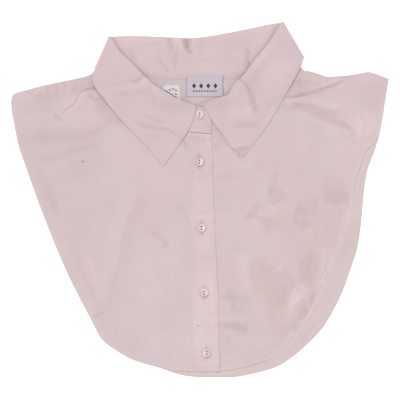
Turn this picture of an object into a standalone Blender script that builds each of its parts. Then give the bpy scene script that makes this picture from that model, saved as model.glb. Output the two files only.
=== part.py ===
"""Detachable shirt collar, buttoned and laid flat on its back.

A dickey: the collar, placket and upper fronts of a shirt, with a short back panel, for wear
under a sweater. Metres, +Z up. X runs across the shirt to the wearer's left, +Y runs from hem
to neck, and z = 0 is the surface that it lies on. The origin is the middle of its footprint.
Tables hold millimetres and are scaled once, where a mesh is made.
"""

import math

import bmesh
import bpy
import numpy as np
from mathutils import Vector

MM = 0.001
WALL = 1.0  # thickness of a cloth wall
GAP = 0.3  # between two pieces, across a seam or between layers
LAYER = WALL + GAP  # how far one layer lies above the next
RAMP = 24.0  # how far the back panel takes to climb over the edge of the collar leaf
CLEAR = 4.0  # the climb ends this far before the edge
FOLD_REACH = 2.6  # a fold is left out past this many of its own widths
FOLD_MEETING = 3  # where folds meet, a higher number comes closer to the taller of them

# Collar ring: the stand lies inside, the leaf turns over its top edge.
RETURN = 1.0  # flat end of the leaf's turned-over top edge
CREASE_STEPS = 4  # faces round each side crease
ROLL_STEPS = 4  # faces round the turned-over top edge
RING_LEVEL = 2 * LAYER - GAP / 2  # middle of the ring behind the neck, between the stand and the leaf
LEAF_JOINED = 35.5  # on the wearer's right the shoulder comes out of the leaf's crease below this
CREASE_BLEND = 14.0  # how far from a crease the cloth takes its direction from it
TAB_SLOPE = 18.0  # how far the stand and the leaves take to climb over the buttoned tab
TAB_HALF = 14.0  # half the width of the level part over the tab
TAB_FOOT = 68.0  # Y where the tab meets the placket
TAB_END = -6.2  # right of this X the stand runs on as the buttoned tab, with nothing turned over it
BOW_REACH = 60.0  # the curve of a leaf's front edge fades out along the leaf over this length

# Faces across and along each piece
CURVE_STEPS = 12  # points to each stretch of a smoothed outline
BACK_FACES = (34, 14)
FRONT_FACES = (24, 20)
PLACKET_FACES = (3, 24)
STAND_FACES = (18, 12, 16)  # round the right front, the back and the left front
STAND_ROWS = 4
LEAF_FACES = (12, 12, 12)
LEAF_ROWS = 6  # from the outer edge up to the turned-over top edge
BOW_STEPS = 20
BACK_CROWDING = 1.7  # above 1 the rows of a panel come closer together towards its top
FRONT_CROWDING = 1.2

# Buttons
BUTTON_RADIUS = 4.5
BUTTON_SIDES = 18
HOLE_RADIUS = 0.65
HOLE_SPACING = 3.0
HOLE_SIDES = 8
MERGE = 0.001  # points closer than this are one, where a turned outline meets its axis
# radius, height of a button's turned outline, from its middle below to its middle above
BUTTON_OUTLINE = [
    (0.0, 0.0), (3.5, 0.0), (BUTTON_RADIUS, 0.7), (BUTTON_RADIUS, 1.2),
    (3.9, 1.9), (3.2, 1.8), (2.7, 1.3), (0.0, 1.2),
]
# x, y of the button centres, from the stand down
BUTTONS = [(-0.4, 88.6), (-0.5, 39.7), (1.7, -29.0), (4.3, -96.5), (6.9, -159.0)]

# Outlines as x, y. The wearer's right is at -X.
SHOULDER_RIGHT = [
    (-196.4, 103.0), (-194.6, 109.2), (-189.3, 111.9), (-161.2, 119.4), (-130.0, 126.0),
    (-116.0, 129.4), (-108.8, 133.9),
]
SHOULDER_LEFT = [
    (98.6, 139.0), (104.4, 137.2), (108.8, 134.5), (114.4, 133.8), (124.8, 130.8), (133.1, 128.4),
    (151.8, 129.4), (164.3, 131.2), (176.0, 133.0), (187.5, 129.4), (196.2, 126.0),
]
BACK_NECK = [
    (-108.8, 133.9), (-93.6, 131.6), (-55.1, 127.0), (0.0, 125.2), (39.5, 126.0), (64.5, 131.6),
    (88.4, 142.0),
]
BACK_NECK_END = [(88.4, 142.0), (104.4, 151.1)]  # the stand's edge goes on to the crease
BACK_NECK_TO_SHOULDER = [(88.4, 142.0), (98.8, 141.6), (108.8, 134.5)]
ARMHOLE_RIGHT = [
    (-196.2, 94.0), (-192.4, 74.4), (-188.2, 54.6), (-182.0, 36.9), (-163.3, -15.1),
    (-138.3, -75.4), (-111.3, -128.4), (-101.9, -145.1), (-85.3, -157.6), (-67.6, -166.9),
    (-38.5, -175.4),
]
HEM_BACK = [
    (-38.5, -175.4), (-22.9, -181.0), (-5.2, -183.8), (20.8, -184.1), (41.6, -183.2),
    (75.4, -174.9), (94.1, -164.5), (111.8, -149.4), (127.4, -132.8), (138.8, -114.1),
    (149.4, -92.0), (156.7, -71.2), (163.0, -52.5),
]
ARMHOLE_LEFT = [
    (163.0, -52.5), (166.2, -33.8), (168.9, -8.8), (170.3, 7.8), (173.4, 28.6), (177.6, 41.1),
    (183.0, 55.6), (187.2, 71.2), (190.3, 87.9), (193.3, 108.0),
]
HEM_RIGHT = [(-38.5, -175.4), (-22.9, -177.8), (-3.8, -178.8)]
NECK_RIGHT = [
    (-108.8, 133.9), (-100.9, 117.0), (-85.3, 100.4), (-64.5, 84.8), (-41.6, 75.4), (-20.8, 71.4),
    (-9.5, 70.8),
]
NECK_LEFT_END = [(104.4, 151.1), (98.6, 139.0)]
NECK_LEFT = [
    (98.6, 139.0), (91.5, 126.6), (74.9, 105.6), (54.1, 88.9), (33.3, 77.5), (10.4, 71.2),
    (-9.2, 70.6),
]
# The left front is pulled up and in, so a strip of the back panel shows along its outer edge.
FRONT_LEFT_EDGE = [
    (193.3, 108.0), (190.3, 87.9), (187.2, 71.2), (181.5, 59.8), (173.4, 52.0), (169.0, 41.1),
    (163.3, 25.5), (160.2, 9.9), (157.6, -5.7), (151.8, -23.4), (145.6, -42.1), (139.4, -60.8),
    (131.0, -79.6), (122.7, -96.2), (113.4, -114.9), (103.0, -131.6), (91.5, -149.2),
    (80.1, -162.2), (64.5, -168.5), (47.8, -173.2), (31.2, -176.8), (13.5, -178.4), (-3.5, -178.8),
]
PLACKET_INNER = [(-6.8, -178.6), (-9.4, -16.1), (-10.4, 20.3), (-12.5, 70.3)]
PLACKET_OUTER = [
    (20.8, -178.6), (19.0, -137.8), (18.2, -94.1), (15.6, -33.8), (13.0, 25.5), (12.1, 67.9),
]

# The turned-over top edge, from the front on the wearer's right, round the back, to the front
# on the left.
ROLL_RIGHT = [
    (-3.2, 98.3), (-18.9, 103.4), (-40.0, 114.0), (-54.7, 127.0), (-67.8, 140.8), (-81.1, 154.0),
    (-92.1, 168.1),
]
ROLL_BACK = [
    (-92.1, 168.1), (-71.0, 170.2), (-46.8, 169.5), (-10.0, 168.2), (21.8, 172.6), (46.3, 177.6),
    (83.3, 182.9),
]
ROLL_LEFT = [
    (83.3, 182.9), (70.7, 164.6), (60.3, 151.4), (50.3, 138.9), (38.2, 125.4), (28.1, 112.9),
    (15.6, 104.2), (6.4, 98.2),
]
TAB_TOP = [(12.1, 80.0), (10.9, 87.5), (8.0, 92.4), (3.4, 95.9), (-1.6, 97.0), (-6.5, 95.6)]
UNDER_TAB_TOP = [(6.4, 98.2), (-9.0, 95.0)]
TAB_BOTTOM = [(12.1, 68.4), (-9.5, 70.8)]
# Outer edge of the leaf: from each point back to the side crease, and behind the neck
LEAF_EDGE_RIGHT = [
    (-36.8, 34.8), (-60.3, 59.0), (-84.2, 83.9), (-100.4, 104.0), (-109.2, 116.2), (-112.6, 126.3),
]
LEAF_EDGE_BACK = [
    (-112.6, 126.3), (-83.2, 122.2), (-46.8, 120.1), (-4.2, 119.1), (41.6, 124.3), (83.2, 133.6),
    (107.2, 147.2),
]
LEAF_EDGE_LEFT = [
    (107.2, 147.2), (104.8, 137.5), (97.4, 122.4), (88.4, 106.6), (69.5, 74.8), (56.5, 58.4),
    (44.6, 42.3),
]
LEAF_FRONT_RIGHT = [
    (-3.2, 98.3), (-5.5, 92.5), (-6.6, 86.2), (-12.9, 72.4), (-17.8, 63.3), (-33.6, 38.9),
    (-36.8, 34.8),
]
LEAF_FRONT_LEFT = [(6.4, 98.2), (13.5, 81.6), (21.8, 71.0), (33.3, 54.1), (44.6, 42.3)]

NECK_LABEL = [(-14.4, 127.9), (-14.4, 107.5), (17.2, 107.5), (24.2, 112.6), (24.2, 127.9)]
SIZE_LABEL = [(-37.9, 118.6), (-37.9, 114.6), (-20.6, 105.6), (-21.8, 119.6)]

# Large soft folds of the fronts: x, y at each end, half width and height of the ridge
FOLDS = [
    (-70.0, 6.0, -86.0, -42.0, 10.0, 3.2),  # down the right front from the chest
    (-88.0, -48.0, -104.0, -104.0, 10.0, 3.4),
    (-128.0, -40.0, -112.0, -92.0, 7.0, 1.8),  # along the right armhole
    (-162.0, 66.0, -92.0, 74.0, 8.0, 1.8),  # across the right shoulder
    (-132.0, 86.0, -119.0, 103.0, 5.0, 2.2),
    (104.0, 102.0, 160.0, 122.0, 7.0, 3.4),  # across the left shoulder
    (96.0, 84.0, 152.0, 64.0, 7.0, 2.6),
    (108.0, -88.0, 92.0, -118.0, 8.0, 3.4),  # near the left hem
    (84.0, 28.0, 76.0, 6.0, 13.0, 2.2),  # soft blisters where the left front bunches
    (140.0, 30.0, 132.0, 4.0, 11.0, 2.6),
    (104.0, 2.0, 96.0, -24.0, 10.0, 1.8),
    (60.0, -64.0, 74.0, -112.0, 12.0, 2.4),
    (44.0, -98.0, 42.0, -124.0, 8.0, 1.6),
]

# name: colour, roughness
CLOTHS = {
    "back_panel": ((0.63, 0.52, 0.53), 0.85),
    "front_right": ((0.67, 0.55, 0.56), 0.85),
    "front_left": ((0.66, 0.54, 0.55), 0.85),
    "placket": ((0.69, 0.57, 0.58), 0.85),
    "collar_stand": ((0.65, 0.53, 0.54), 0.85),
    "collar_leaf": ((0.68, 0.56, 0.57), 0.85),
    "neck_label": ((0.55, 0.54, 0.60), 0.6),
    "size_label": ((0.85, 0.85, 0.86), 0.6),
}
PEARL = ((0.78, 0.72, 0.72), 0.25)


def clear_scene():
    for item in list(bpy.data.objects):
        bpy.data.objects.remove(item, do_unlink=True)


def material(name, colour, roughness):
    made = bpy.data.materials.new(name)
    made.use_nodes = True
    shader = made.node_tree.nodes["Principled BSDF"]
    shader.inputs["Base Color"].default_value = (*colour, 1.0)
    shader.inputs["Roughness"].default_value = roughness
    shader.inputs["Metallic"].default_value = 0.0
    return made


def smooth(t):
    """0 below 0, 1 above 1, and an even climb between."""
    t = min(max(t, 0.0), 1.0)
    return t * t * (3.0 - 2.0 * t)


def mix(a, b, t):
    return (a[0] + (b[0] - a[0]) * t, a[1] + (b[1] - a[1]) * t)


def smooth_line(points):
    """Many points along a smooth curve through the given ones (Catmull-Rom)."""
    if len(points) == 2:
        return [mix(points[0], points[1], i / CURVE_STEPS) for i in range(CURVE_STEPS + 1)]
    held = [Vector(points[0]) * 2 - Vector(points[1])]
    held += [Vector(p) for p in points]
    held += [Vector(points[-1]) * 2 - Vector(points[-2])]
    line = []
    for a, b, c, d in zip(held, held[1:], held[2:], held[3:]):
        for i in range(CURVE_STEPS):
            t = i / CURVE_STEPS
            at = b * 2 + (c - a) * t
            at += (a * 2 - b * 5 + c * 4 - d) * t * t + (b * 3 - a - c * 3 + d) * t ** 3
            line.append(tuple(at * 0.5))
    line.append(tuple(points[-1]))
    return line


def spaced(curves, count):
    """count + 1 points, evenly spaced by length, along smooth curves laid end to end."""
    line = smooth_line(curves[0])
    for more in curves[1:]:
        line += smooth_line(more)[1:]
    xs, ys = np.array(line).T
    reach = np.concatenate([[0.0], np.cumsum(np.hypot(np.diff(xs), np.diff(ys)))])
    at = np.linspace(0.0, reach[-1], count + 1)
    return list(zip(np.interp(at, reach, xs).tolist(), np.interp(at, reach, ys).tolist()))


def leaf_edge_y(x):
    """Y of the hidden leaf's outer edge behind the neck."""
    xs, ys = zip(*LEAF_EDGE_BACK)
    return float(np.interp(x, xs, ys))


def back_level(x, y):
    """Underside of the back panel, which the leaf lifts where it lies under the panel's top edge."""
    up = smooth((y - leaf_edge_y(x) + CLEAR + RAMP) / RAMP)
    right = smooth((x - LEAF_EDGE_BACK[0][0] + CLEAR + RAMP) / RAMP)
    left = smooth((LEAF_EDGE_BACK[-1][0] + CLEAR + RAMP - x) / RAMP)
    return LAYER * up * right * left


def folds(x, y):
    """Height of the large soft folds at a point of the fronts."""
    total = 0.0
    for x0, y0, x1, y1, width, top in FOLDS:
        run = Vector((x1 - x0, y1 - y0))
        along = min(max(Vector((x - x0, y - y0)).dot(run) / run.length_squared, 0.0), 1.0)
        away = math.hypot(x - x0 - run.x * along, y - y0 - run.y * along) / width
        if away < FOLD_REACH:
            total += (top * math.exp(-away * away) * smooth(FOLD_REACH - away)) ** FOLD_MEETING
    return total ** (1.0 / FOLD_MEETING)


def front_level(x, y):
    """Underside of the fronts: on the back panel, and over their own folds."""
    return LAYER + back_level(x, y) + folds(x, y)


def placket_level(x, y):
    return front_level(x, y) + LAYER


def tab_lift(x, y):
    """How far a piece climbs, coming from either side, to pass over a buttoned layer."""
    across = smooth((TAB_HALF + TAB_SLOPE - abs(x)) / TAB_SLOPE)
    return LAYER * across * smooth((y - TAB_FOOT + TAB_SLOPE) / TAB_SLOPE)


def add_object(name, bm, colour, roughness):
    mesh = bpy.data.meshes.new(name)
    bm.to_mesh(mesh)
    bm.free()
    piece = bpy.data.objects.new(name, mesh)
    piece.data.materials.append(material(name, colour, roughness))
    bpy.context.scene.collection.objects.link(piece)
    return piece


def give_wall(piece, offset):
    """Cloth thickness: offset 1 keeps the mesh as the underside, 0 as the middle of the wall."""
    wall = piece.modifiers.new("wall", "SOLIDIFY")
    wall.thickness = WALL * MM
    wall.offset = offset
    wall.use_even_offset = True
    piece.data.shade_smooth()
    return piece


def grid(across, along, place):
    """A sheet of across x along faces, with place(i, j) giving the millimetre position of each corner."""
    bm = bmesh.new()
    bmesh.ops.create_grid(bm, x_segments=across, y_segments=along, size=0.5)
    for vertex in bm.verts:
        i = round((vertex.co.x + 0.5) * across)
        j = round((vertex.co.y + 0.5) * along)
        vertex.co = Vector(place(i, j)) * MM
    return bm


def panel(name, lower, upper, faces, level, crowding):
    """A panel ruled from its lower to its upper outline, both running from left to right."""
    across, along = faces
    starts = spaced(lower, across)
    ends = spaced(upper, across)

    def place(i, j):
        seam = GAP / 2 / math.dist(starts[i], ends[i])
        share = 1.0 - (1.0 - j / along) ** crowding
        x, y = mix(starts[i], ends[i], share * (1.0 - seam))
        return x, y, level(x, y)

    bm = grid(across, along, place)
    return give_wall(add_object(name, bm, *CLOTHS[name]), 1.0)


def placket():
    """The buttonhole band, laid over the meeting edges of the two fronts."""
    across, along = PLACKET_FACES
    inner = spaced([PLACKET_INNER], along)
    outer = spaced([PLACKET_OUTER], along)

    def place(i, j):
        x, y = mix(inner[j], outer[j], i / across)
        return x, y, placket_level(x, y)

    bm = grid(across, along, place)
    return give_wall(add_object("placket", bm, *CLOTHS["placket"]), 1.0)


class Station:
    """One place along the collar ring: where its top edge is, and which way the cloth leaves it.

    dip points in plan from the top edge into the cloth, and normal from the stand to the leaf:
    up on the fronts, down behind the neck, and outwards half way round a side crease.
    """

    def __init__(self, top, dip, bottom, normal, side):
        self.top = top
        self.dip = dip
        self.bottom = bottom
        self.normal = normal
        self.side = side

    def base(self, x, y):
        """Height of the middle of the ring, which the stand and leaf lie either side of."""
        if self.side == "back":
            return RING_LEVEL
        level = front_level(x, y) - GAP / 2
        return level + tab_lift(x, y) if self.side == "right" else level

    def place(self, plan, offset):
        out = Vector(self.normal) * offset
        return (plan[0] + out.x, plan[1] + out.y, self.base(*plan) + out.z)

    def near_top(self, depth):
        return (self.top[0] + self.dip[0] * depth, self.top[1] + self.dip[1] * depth)


def crease_frame(corner, neck):
    """Direction down a side crease, and straight out from it."""
    down = (Vector(neck) - Vector(corner)).normalized()
    out = Vector((-down.y, down.x))
    if out.x * corner[0] < 0:
        out = -out
    return down, out


def run_stations(tops, bottoms, turn, side, creases):
    """Stations along one stretch. turn is 1 where the cloth lies left of the run, -1 where right."""
    made = []
    normal = (0.0, 0.0, -1.0 if side == "back" else 1.0)
    for i, top in enumerate(tops):
        before = Vector(tops[max(i - 1, 0)])
        after = Vector(tops[min(i + 1, len(tops) - 1)])
        run = (after - before).normalized()
        dip = Vector((-run.y, run.x)) * turn
        for corner, down in creases:
            near = 1.0 - math.dist(top, corner) / CREASE_BLEND
            dip = dip.lerp(down, smooth(near)).normalized()
        made.append(Station(top, dip, bottoms[i], normal, side))
    return made


def crease_stations(corner, bottom, down, out, rising):
    """Stations round a side crease, between the front and the back ones."""
    made = []
    for k in range(1, CREASE_STEPS):
        angle = math.pi * k / CREASE_STEPS
        if rising:
            angle = math.pi - angle
        normal = (out.x * math.sin(angle), out.y * math.sin(angle), math.cos(angle))
        made.append(Station(corner, down, bottom, normal, "back"))
    return made


def ring(tops, bottoms, crease_ends, counts):
    """All stations of the stand or the leaf, from the wearer's right, round the back, to the left.

    tops and bottoms each hold three outlines: right, back and left. crease_ends says how far down
    its crease the cloth joins round each side.
    """
    corners = [(ROLL_BACK[0], BACK_NECK[0]), (ROLL_BACK[-1], BACK_NECK_END[-1])]
    frames = [crease_frame(*pair) for pair in corners]
    creases = [(corners[0][0], frames[0][0]), (corners[1][0], frames[1][0])]
    turns = (1, -1, 1)
    sides = ("right", "back", "left")
    stations = []
    for k, side in enumerate(sides):
        top = spaced(tops[k], counts[k])
        bottom = spaced(bottoms[k], counts[k])
        stations += run_stations(top, bottom, turns[k], side, creases)
        if k < 2:
            down, out = frames[k]
            end = tuple(Vector(top[-1]) + down * crease_ends[k])
            stations += crease_stations(top[-1], end, down, out, rising=k == 1)
    return stations


def roll_half(station):
    """Half the distance between the stand and the leaf where the leaf turns over."""
    return (LAYER + over_tab(station, station.top)) / 2


def over_tab(station, plan):
    """The left leaf passes over the end of the tab, which lies between it and its own stand."""
    return tab_lift(*plan) if station.side == "left" else 0.0


def collar_stand():
    stations = ring(
        [[TAB_TOP, ROLL_RIGHT[1:]], [ROLL_BACK], [ROLL_LEFT, UNDER_TAB_TOP]],
        [[TAB_BOTTOM, NECK_RIGHT[::-1]], [BACK_NECK, BACK_NECK_END], [NECK_LEFT_END, NECK_LEFT]],
        [math.dist(ROLL_BACK[0], BACK_NECK[0]), math.dist(ROLL_BACK[-1], BACK_NECK_END[-1])],
        STAND_FACES,
    )

    def place(i, j):
        station = stations[i]
        outer = roll_half(station) + WALL / 2
        depth = outer + RETURN + GAP
        if station.side == "right" and station.top[0] > TAB_END:
            depth = 0.0
        start = station.near_top(depth)
        reach = 1.0 - GAP / 2 / math.dist(start, station.bottom)
        return station.place(mix(start, station.bottom, j / STAND_ROWS * reach), LAYER / 2)

    bm = grid(len(stations) - 1, STAND_ROWS, place)
    return give_wall(add_object("collar_stand", bm, *CLOTHS["collar_stand"]), 0.0)


def front_bow(edge, station, share):
    """How far the front edge of a leaf stands out from a straight line, fading along the leaf."""
    start, end = Vector(edge[0]), Vector(edge[-1])
    line = spaced([edge], BOW_STEPS)
    away = Vector(line[round(share * BOW_STEPS)]) - start.lerp(end, share)
    fade = max(0.0, 1.0 - math.dist(station.top, edge[0]) / BOW_REACH)
    return away * fade * fade


def collar_leaf():
    stations = ring(
        [[ROLL_RIGHT], [ROLL_BACK], [ROLL_LEFT]],
        [[LEAF_EDGE_RIGHT], [LEAF_EDGE_BACK], [LEAF_EDGE_LEFT]],
        [LEAF_JOINED, math.dist(ROLL_BACK[-1], LEAF_EDGE_BACK[-1])],
        LEAF_FACES,
    )
    edges = {"right": LEAF_FRONT_RIGHT, "left": LEAF_FRONT_LEFT}

    def place(i, j):
        station = stations[i]
        half = roll_half(station)
        low = LAYER / 2
        outer = half + WALL / 2
        if j <= LEAF_ROWS:
            share = 1.0 - j / LEAF_ROWS
            plan = Vector(mix(station.near_top(outer), station.bottom, share))
            if station.side in edges:
                plan += front_bow(edges[station.side], station, share)
            return station.place(tuple(plan), low + LAYER + over_tab(station, plan))
        if j > LEAF_ROWS + ROLL_STEPS:
            return station.place(station.near_top(outer + RETURN), low)
        angle = math.pi * (j - LEAF_ROWS) / ROLL_STEPS
        plan = station.near_top(outer - half * math.sin(angle))
        return station.place(plan, low + half + half * math.cos(angle))

    bm = grid(len(stations) - 1, LEAF_ROWS + ROLL_STEPS + 1, place)
    return give_wall(add_object("collar_leaf", bm, *CLOTHS["collar_leaf"]), 0.0)


def label(name, corners):
    """A woven label laid on the back panel inside the neck."""
    bm = bmesh.new()
    face = bm.faces.new([bm.verts.new((x * MM, y * MM, 0.0)) for x, y in corners])
    bmesh.ops.triangulate(bm, faces=[face])
    bmesh.ops.subdivide_edges(bm, edges=bm.edges[:], cuts=1, use_grid_fill=True)
    bmesh.ops.recalc_face_normals(bm, faces=bm.faces[:])
    if sum(f.normal.z for f in bm.faces) < 0:
        bmesh.ops.reverse_faces(bm, faces=bm.faces[:])
    for vertex in bm.verts:
        x, y = vertex.co.x / MM, vertex.co.y / MM
        vertex.co.z = (back_level(x, y) + LAYER) * MM
    return give_wall(add_object(name, bm, *CLOTHS[name]), 1.0)


def button_mesh():
    """A turned button with a raised rim."""
    bm = bmesh.new()
    points = [bm.verts.new((r * MM, 0.0, z * MM)) for r, z in BUTTON_OUTLINE]
    outline = [bm.edges.new(pair) for pair in zip(points, points[1:])]
    bmesh.ops.spin(bm, geom=points + outline, cent=(0, 0, 0), axis=(0, 0, 1),
                   angle=2 * math.pi, steps=BUTTON_SIDES, use_merge=True)
    bmesh.ops.remove_doubles(bm, verts=bm.verts[:], dist=MERGE * MM)
    bmesh.ops.recalc_face_normals(bm, faces=bm.faces[:])
    return bm


def hole_cutter(name, place):
    """Two posts that cut the thread holes, one above the other."""
    bm = bmesh.new()
    for side in (-1, 1):
        post = bmesh.ops.create_cone(bm, cap_ends=True, segments=HOLE_SIDES,
                                     radius1=HOLE_RADIUS * MM, radius2=HOLE_RADIUS * MM,
                                     depth=2 * BUTTON_RADIUS * MM)
        bmesh.ops.translate(bm, verts=post["verts"], vec=(0, side * HOLE_SPACING / 2 * MM, 0))
    cutter = add_object(name, bm, *PEARL)
    cutter.location = place
    cutter.hide_render = True
    cutter.display_type = "WIRE"
    return cutter


def button(number, x, y):
    name = f"button_{number}"
    place = Vector((x, y, placket_level(x, y) + LAYER)) * MM
    piece = add_object(name, button_mesh(), *PEARL)
    piece.location = place
    piece.data.shade_smooth()
    holes = piece.modifiers.new("holes", "BOOLEAN")
    holes.operation = "DIFFERENCE"
    holes.object = hole_cutter(f"cutter_{number}", place)
    return piece


def main():
    clear_scene()
    panel("back_panel", [ARMHOLE_RIGHT, HEM_BACK, ARMHOLE_LEFT],
          [SHOULDER_RIGHT, BACK_NECK, BACK_NECK_TO_SHOULDER, SHOULDER_LEFT[2:]],
          BACK_FACES, back_level, BACK_CROWDING)
    panel("front_right", [ARMHOLE_RIGHT, HEM_RIGHT], [SHOULDER_RIGHT, NECK_RIGHT],
          FRONT_FACES, front_level, FRONT_CROWDING)
    panel("front_left", [FRONT_LEFT_EDGE[::-1]], [NECK_LEFT[::-1], SHOULDER_LEFT],
          FRONT_FACES, front_level, FRONT_CROWDING)
    placket()
    collar_stand()
    collar_leaf()
    label("neck_label", NECK_LABEL)
    label("size_label", SIZE_LABEL)
    for number, (x, y) in enumerate(BUTTONS, 1):
        button(number, x, y)


main()
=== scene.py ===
import math
import random

import bmesh
import bpy
import numpy as np
from mathutils import Matrix, Vector
from mathutils.bvhtree import BVHTree


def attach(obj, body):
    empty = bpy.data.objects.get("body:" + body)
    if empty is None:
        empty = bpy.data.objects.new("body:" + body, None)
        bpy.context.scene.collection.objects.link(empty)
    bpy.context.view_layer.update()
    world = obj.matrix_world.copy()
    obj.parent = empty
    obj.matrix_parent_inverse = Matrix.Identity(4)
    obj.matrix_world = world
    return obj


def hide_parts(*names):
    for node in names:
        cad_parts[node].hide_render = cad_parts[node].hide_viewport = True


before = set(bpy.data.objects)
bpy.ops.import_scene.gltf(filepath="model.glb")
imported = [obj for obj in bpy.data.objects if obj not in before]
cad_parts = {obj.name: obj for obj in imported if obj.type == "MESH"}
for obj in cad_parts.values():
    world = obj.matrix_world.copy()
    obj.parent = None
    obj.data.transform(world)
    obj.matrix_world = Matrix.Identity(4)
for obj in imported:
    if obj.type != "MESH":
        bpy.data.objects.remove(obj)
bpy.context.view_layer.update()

mm = 0.001

# Lengths are in millimetres until a mesh is made. X runs to the wearer's left, Y from hem to neck,
# and z = 0 is the table.

cloth = {
    "single": 0.22,  # thickness of one layer of shirting
    "double": 0.52,  # collar, stand and button band
    "layer": 1.3,  # how far one layer lies above the next
    "gap": 0.3,  # of that, between them
    "middle": 0.45,  # middle of a cloth above its underside level
    "contact": 0.25,  # from middle to middle where a hem settles on the layer below
    "loft": 0.6,  # how far the fronts float over the back
    "loftReach": 34.0,  # and how far in from their edges that takes
    "ripple": 0.12,  # soft unevenness left by the iron
    "climb": 24.0,  # the back climbs over the hidden collar edge in this length
    "clear": 4.0,  # and is up this far before it
    "paintedShading": (0.904, 0.886, 0.888),  # colour factor for one unit of painted shading: painted shade in creases, hollows and beside edges, painted light where it is below 0
    "tuck": 6.0,  # reach of a panel into the collar stand
    "crowding": 1.12,  # rows of a panel come closer together towards its seam
}

outline = {
    "shoulderRight": [
        (-196.4, 103.0), (-194.6, 109.2), (-189.3, 111.9), (-161.2, 119.4), (-130.0, 126.0),
        (-116.0, 129.4), (-108.8, 133.9),
    ],
    "shoulderLeft": [
        (98.6, 139.0), (104.4, 137.2), (108.8, 134.5), (114.4, 133.8), (124.8, 130.8),
        (133.1, 128.4), (151.8, 129.4), (164.3, 131.2), (176.0, 133.0), (187.5, 129.4),
        (196.2, 126.0),
    ],
    "backNeck": [
        (-108.8, 133.9), (-93.6, 131.6), (-55.1, 127.0), (0.0, 125.2), (39.5, 126.0),
        (64.5, 131.6), (88.4, 142.0),
    ],
    "backNeckEnd": [(88.4, 142.0), (104.4, 151.1)],
    "backNeckToShoulder": [(88.4, 142.0), (98.8, 141.6), (108.8, 134.5)],
    "armholeRight": [
        (-196.2, 94.0), (-192.4, 74.4), (-188.2, 54.6), (-182.0, 36.9), (-163.3, -15.1),
        (-138.3, -75.4), (-111.3, -128.4), (-101.9, -145.1), (-85.3, -157.6), (-67.6, -166.9),
        (-38.5, -175.4),
    ],
    "hemBack": [
        (-38.5, -175.4), (-22.9, -181.0), (-5.2, -183.8), (20.8, -184.1), (41.6, -183.2),
        (75.4, -174.9), (94.1, -164.5), (111.8, -149.4), (127.4, -132.8), (138.8, -114.1),
        (149.4, -92.0), (156.7, -71.2), (163.0, -52.5),
    ],
    "armholeLeft": [
        (163.0, -52.5), (166.2, -33.8), (168.9, -8.8), (170.3, 7.8), (173.4, 28.6),
        (177.6, 41.1), (183.0, 55.6), (187.2, 71.2), (190.3, 87.9), (193.3, 108.0),
    ],
    "hemRight": [(-38.5, -175.4), (-22.9, -177.8), (-3.8, -178.8)],
    "neckRight": [
        (-108.8, 133.9), (-100.9, 117.0), (-85.3, 100.4), (-64.5, 84.8), (-41.6, 75.4),
        (-20.8, 71.4), (-9.5, 70.8),
    ],
    "neckLeftEnd": [(104.4, 151.1), (98.6, 139.0)],
    "neckLeft": [
        (98.6, 139.0), (91.5, 126.6), (74.9, 105.6), (54.1, 88.9), (33.3, 77.5), (10.4, 71.2),
        (-9.2, 70.6),
    ],
    "frontLeftEdge": [
        (193.3, 108.0), (190.3, 87.9), (187.2, 71.2), (181.5, 59.8), (173.4, 52.0),
        (169.0, 41.1), (163.3, 25.5), (160.2, 9.9), (157.6, -5.7), (151.8, -23.4),
        (145.6, -42.1), (139.4, -60.8), (131.0, -79.6), (122.7, -96.2), (113.4, -114.9),
        (103.0, -131.6), (91.5, -149.2), (80.1, -162.2), (64.5, -168.5), (47.8, -173.2),
        (31.2, -176.8), (13.5, -178.4), (-3.5, -178.8),
    ],
    "bandInner": [(-6.8, -178.6), (-9.4, -16.1), (-10.4, 20.3), (-12.5, 70.3)],
    "bandOuter": [
        (20.8, -178.6), (19.0, -137.8), (18.2, -94.1), (15.6, -33.8), (13.0, 25.5), (12.1, 67.9),
    ],
    "rollRight": [
        (-3.0, 98.0), (-18.7, 103.3), (-39.9, 114.0), (-55.2, 126.4), (-68.5, 140.0),
        (-81.9, 153.3), (-92.7, 170.0),
    ],
    "rollBack": [
        (-92.7, 170.0), (-71.0, 171.1), (-46.8, 170.2), (-15.6, 169.0), (-1.0, 169.4),
        (21.8, 172.7), (46.3, 177.5), (69.5, 182.4), (84.6, 184.9),
    ],
    "rollLeft": [
        (84.6, 184.9), (71.8, 163.7), (61.3, 150.5), (51.5, 137.9), (45.7, 129.7), (39.8, 124.4),
        (33.8, 117.0), (31.4, 112.2), (28.8, 108.8), (23.4, 107.3), (15.0, 104.6), (8.0, 102.6),
        (-0.9, 99.6),
    ],
    "tabTop": [(12.1, 80.0), (11.2, 87.5), (8.8, 92.4), (4.4, 96.2), (-1.6, 97.9), (-6.5, 98.2)],
    "underTabTop": [(-0.9, 99.6), (-9.0, 97.0)],
    "tabBottom": [(12.1, 69.0), (-9.5, 70.8)],
    "leafEdgeRight": [
        (-38.2, 35.2), (-59.7, 59.7), (-83.5, 84.6), (-99.6, 104.6), (-108.5, 116.6),
        (-112.6, 126.3),
    ],
    "leafEdgeBack": [
        (-112.6, 126.3), (-83.2, 122.2), (-46.8, 120.1), (-4.2, 119.1), (41.6, 124.3),
        (83.2, 133.6), (107.2, 147.2),
    ],
    "leafEdgeLeft": [
        (107.2, 147.2), (104.2, 137.8), (96.5, 122.9), (87.5, 107.2), (68.7, 75.4), (55.8, 59.0),
        (44.4, 43.0),
    ],
    "leafFrontRight": [
        (-3.0, 98.0), (-4.2, 92.5), (-5.6, 86.2), (-12.6, 72.0), (-18.0, 63.4), (-34.6, 39.6),
        (-38.2, 35.2),
    ],
    "leafFrontLeft": [
        (-0.9, 99.6), (4.6, 96.2), (8.3, 91.5), (13.0, 82.4), (21.8, 70.6), (33.3, 54.5),
        (44.4, 43.0),
    ],
}
outline["shoulderLeftEnd"] = outline["shoulderLeft"][2:]
buttonPlaces = [(-0.4, 88.6), (-0.5, 39.7), (1.7, -29.0), (4.3, -96.5), (6.9, -159.0)]


# Lines and soft fields

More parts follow.
